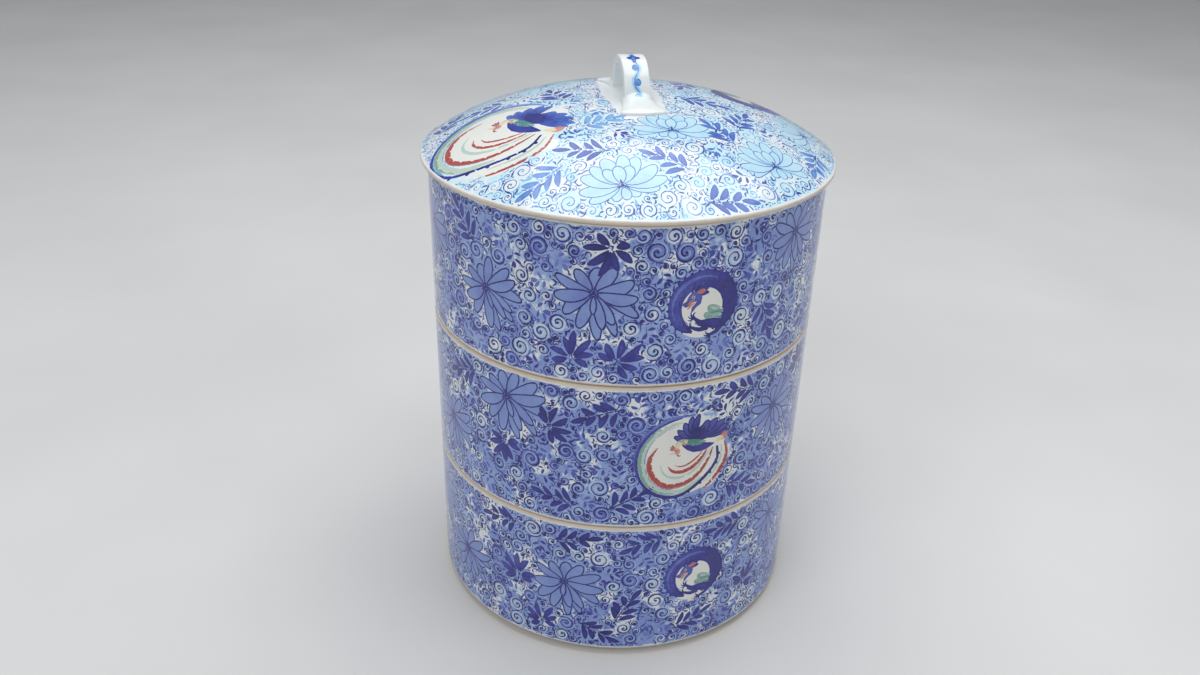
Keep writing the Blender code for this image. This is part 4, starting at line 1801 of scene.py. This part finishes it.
# Floor, light and camera

def build_stage():
    """A pale studio floor."""
    shader = Shader("studio_paper")
    grey = shader.ramp(shader.noise(6.0), ((0.3, (0.60, 0.60, 0.595)), (0.7, (0.64, 0.64, 0.635))))
    paper = shader.finish(Base_Color=grey, Roughness=0.8)
    bpy.ops.object.select_all(action="DESELECT")
    bpy.ops.mesh.primitive_plane_add(size=8.0, location=(0.0, 0.0, 0.0))
    floor = bpy.context.object
    floor.name = "studio_floor"
    floor.data.materials.append(paper)


def add_softbox(name, place, target, size, power):
    """A soft light aimed at a point."""
    data = bpy.data.lights.new(name, "AREA")
    data.shape = "RECTANGLE"
    data.size, data.size_y = size
    data.energy = power
    lamp = add_object(name, data)
    lamp.location = place
    lamp.rotation_euler = (Vector(target) - Vector(place)).to_track_quat("-Z", "Y").to_euler()


def build_lights():
    """Soft studio light, mostly from above, with a key at the left and a fill at the right."""
    middle = (0.0, 0.0, 0.12)
    add_softbox("key_softbox", (-0.9, -0.9, 1.1), middle, (1.0, 1.1), 9.0)
    add_softbox("fill_softbox", (1.1, -0.7, 0.7), middle, (0.8, 0.9), 3.6)
    add_softbox("top_softbox", (0.1, 0.2, 1.4), middle, (1.3, 1.3), 14.5)
    world = bpy.data.worlds.new("studio_air")
    bpy.context.scene.world = world
    world.use_nodes = True
    sky = world.node_tree.nodes["Background"]
    sky.inputs["Color"].default_value = (0.92, 0.95, 1.0, 1.0)
    sky.inputs["Strength"].default_value = 0.34


def build_camera():
    """The photograph's viewpoint, turned with the handle."""
    pitch = math.radians(CAMERA_PITCH)
    roll = math.radians(CAMERA_ROLL)
    right = Vector((1.0, 0.0, 0.0))
    ahead = Vector((0.0, math.cos(pitch), -math.sin(pitch)))
    up = Vector((0.0, math.sin(pitch), math.cos(pitch)))
    image_right = right * math.cos(roll) + up * math.sin(roll)
    image_up = up * math.cos(roll) - right * math.sin(roll)
    matrix = Matrix((image_right, image_up, -ahead)).transposed().to_4x4()
    matrix.translation = CAMERA_PLACE
    data = bpy.data.cameras.new("photo_view")
    data.sensor_width = 36.0
    data.lens = CAMERA_LENS
    camera = add_object("photo_view", data)
    camera.matrix_world = Matrix.Rotation(math.radians(CAMERA_TURN), 4, "Z") @ matrix
    bpy.context.scene.camera = camera


def main():
    """Build and dress the pieces, then the stage, lights and camera."""
    box_glaze = glazed_porcelain("painted_porcelain", brushwork(BOX_HAND), COBALT_STOPS)
    # The lid and handle take the cobalt stops that carry painted light
    lid_glaze = glazed_porcelain("painted_lid_porcelain", brushwork(LID_HAND), LID_STOPS_WITH_PAINTED_LIGHT)
    handle_glaze = glazed_porcelain("handle_porcelain", vine, LID_STOPS_WITH_PAINTED_LIGHT)
    for name, body, motifs, tone, seed in (
        ("lower_box", "lower_tier", LOWER_MOTIFS, LOWER_TONE, 11),
        ("middle_box", "middle_tier", MIDDLE_MOTIFS, MIDDLE_TONE, 23),
        ("upper_box", "upper_tier", UPPER_MOTIFS, UPPER_TONE, 37),
    ):
        tier = build_tier(name, motifs, tone, seed, box_glaze)
        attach(tier, body)
    lid = build_lid(53, lid_glaze)
    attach(lid, "lid_with_handle")
    handle = build_handle(handle_glaze)
    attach(handle, "lid_with_handle")
    build_stage()
    build_lights()
    build_camera()
    bpy.context.scene.view_settings.view_transform = "Standard"


main()
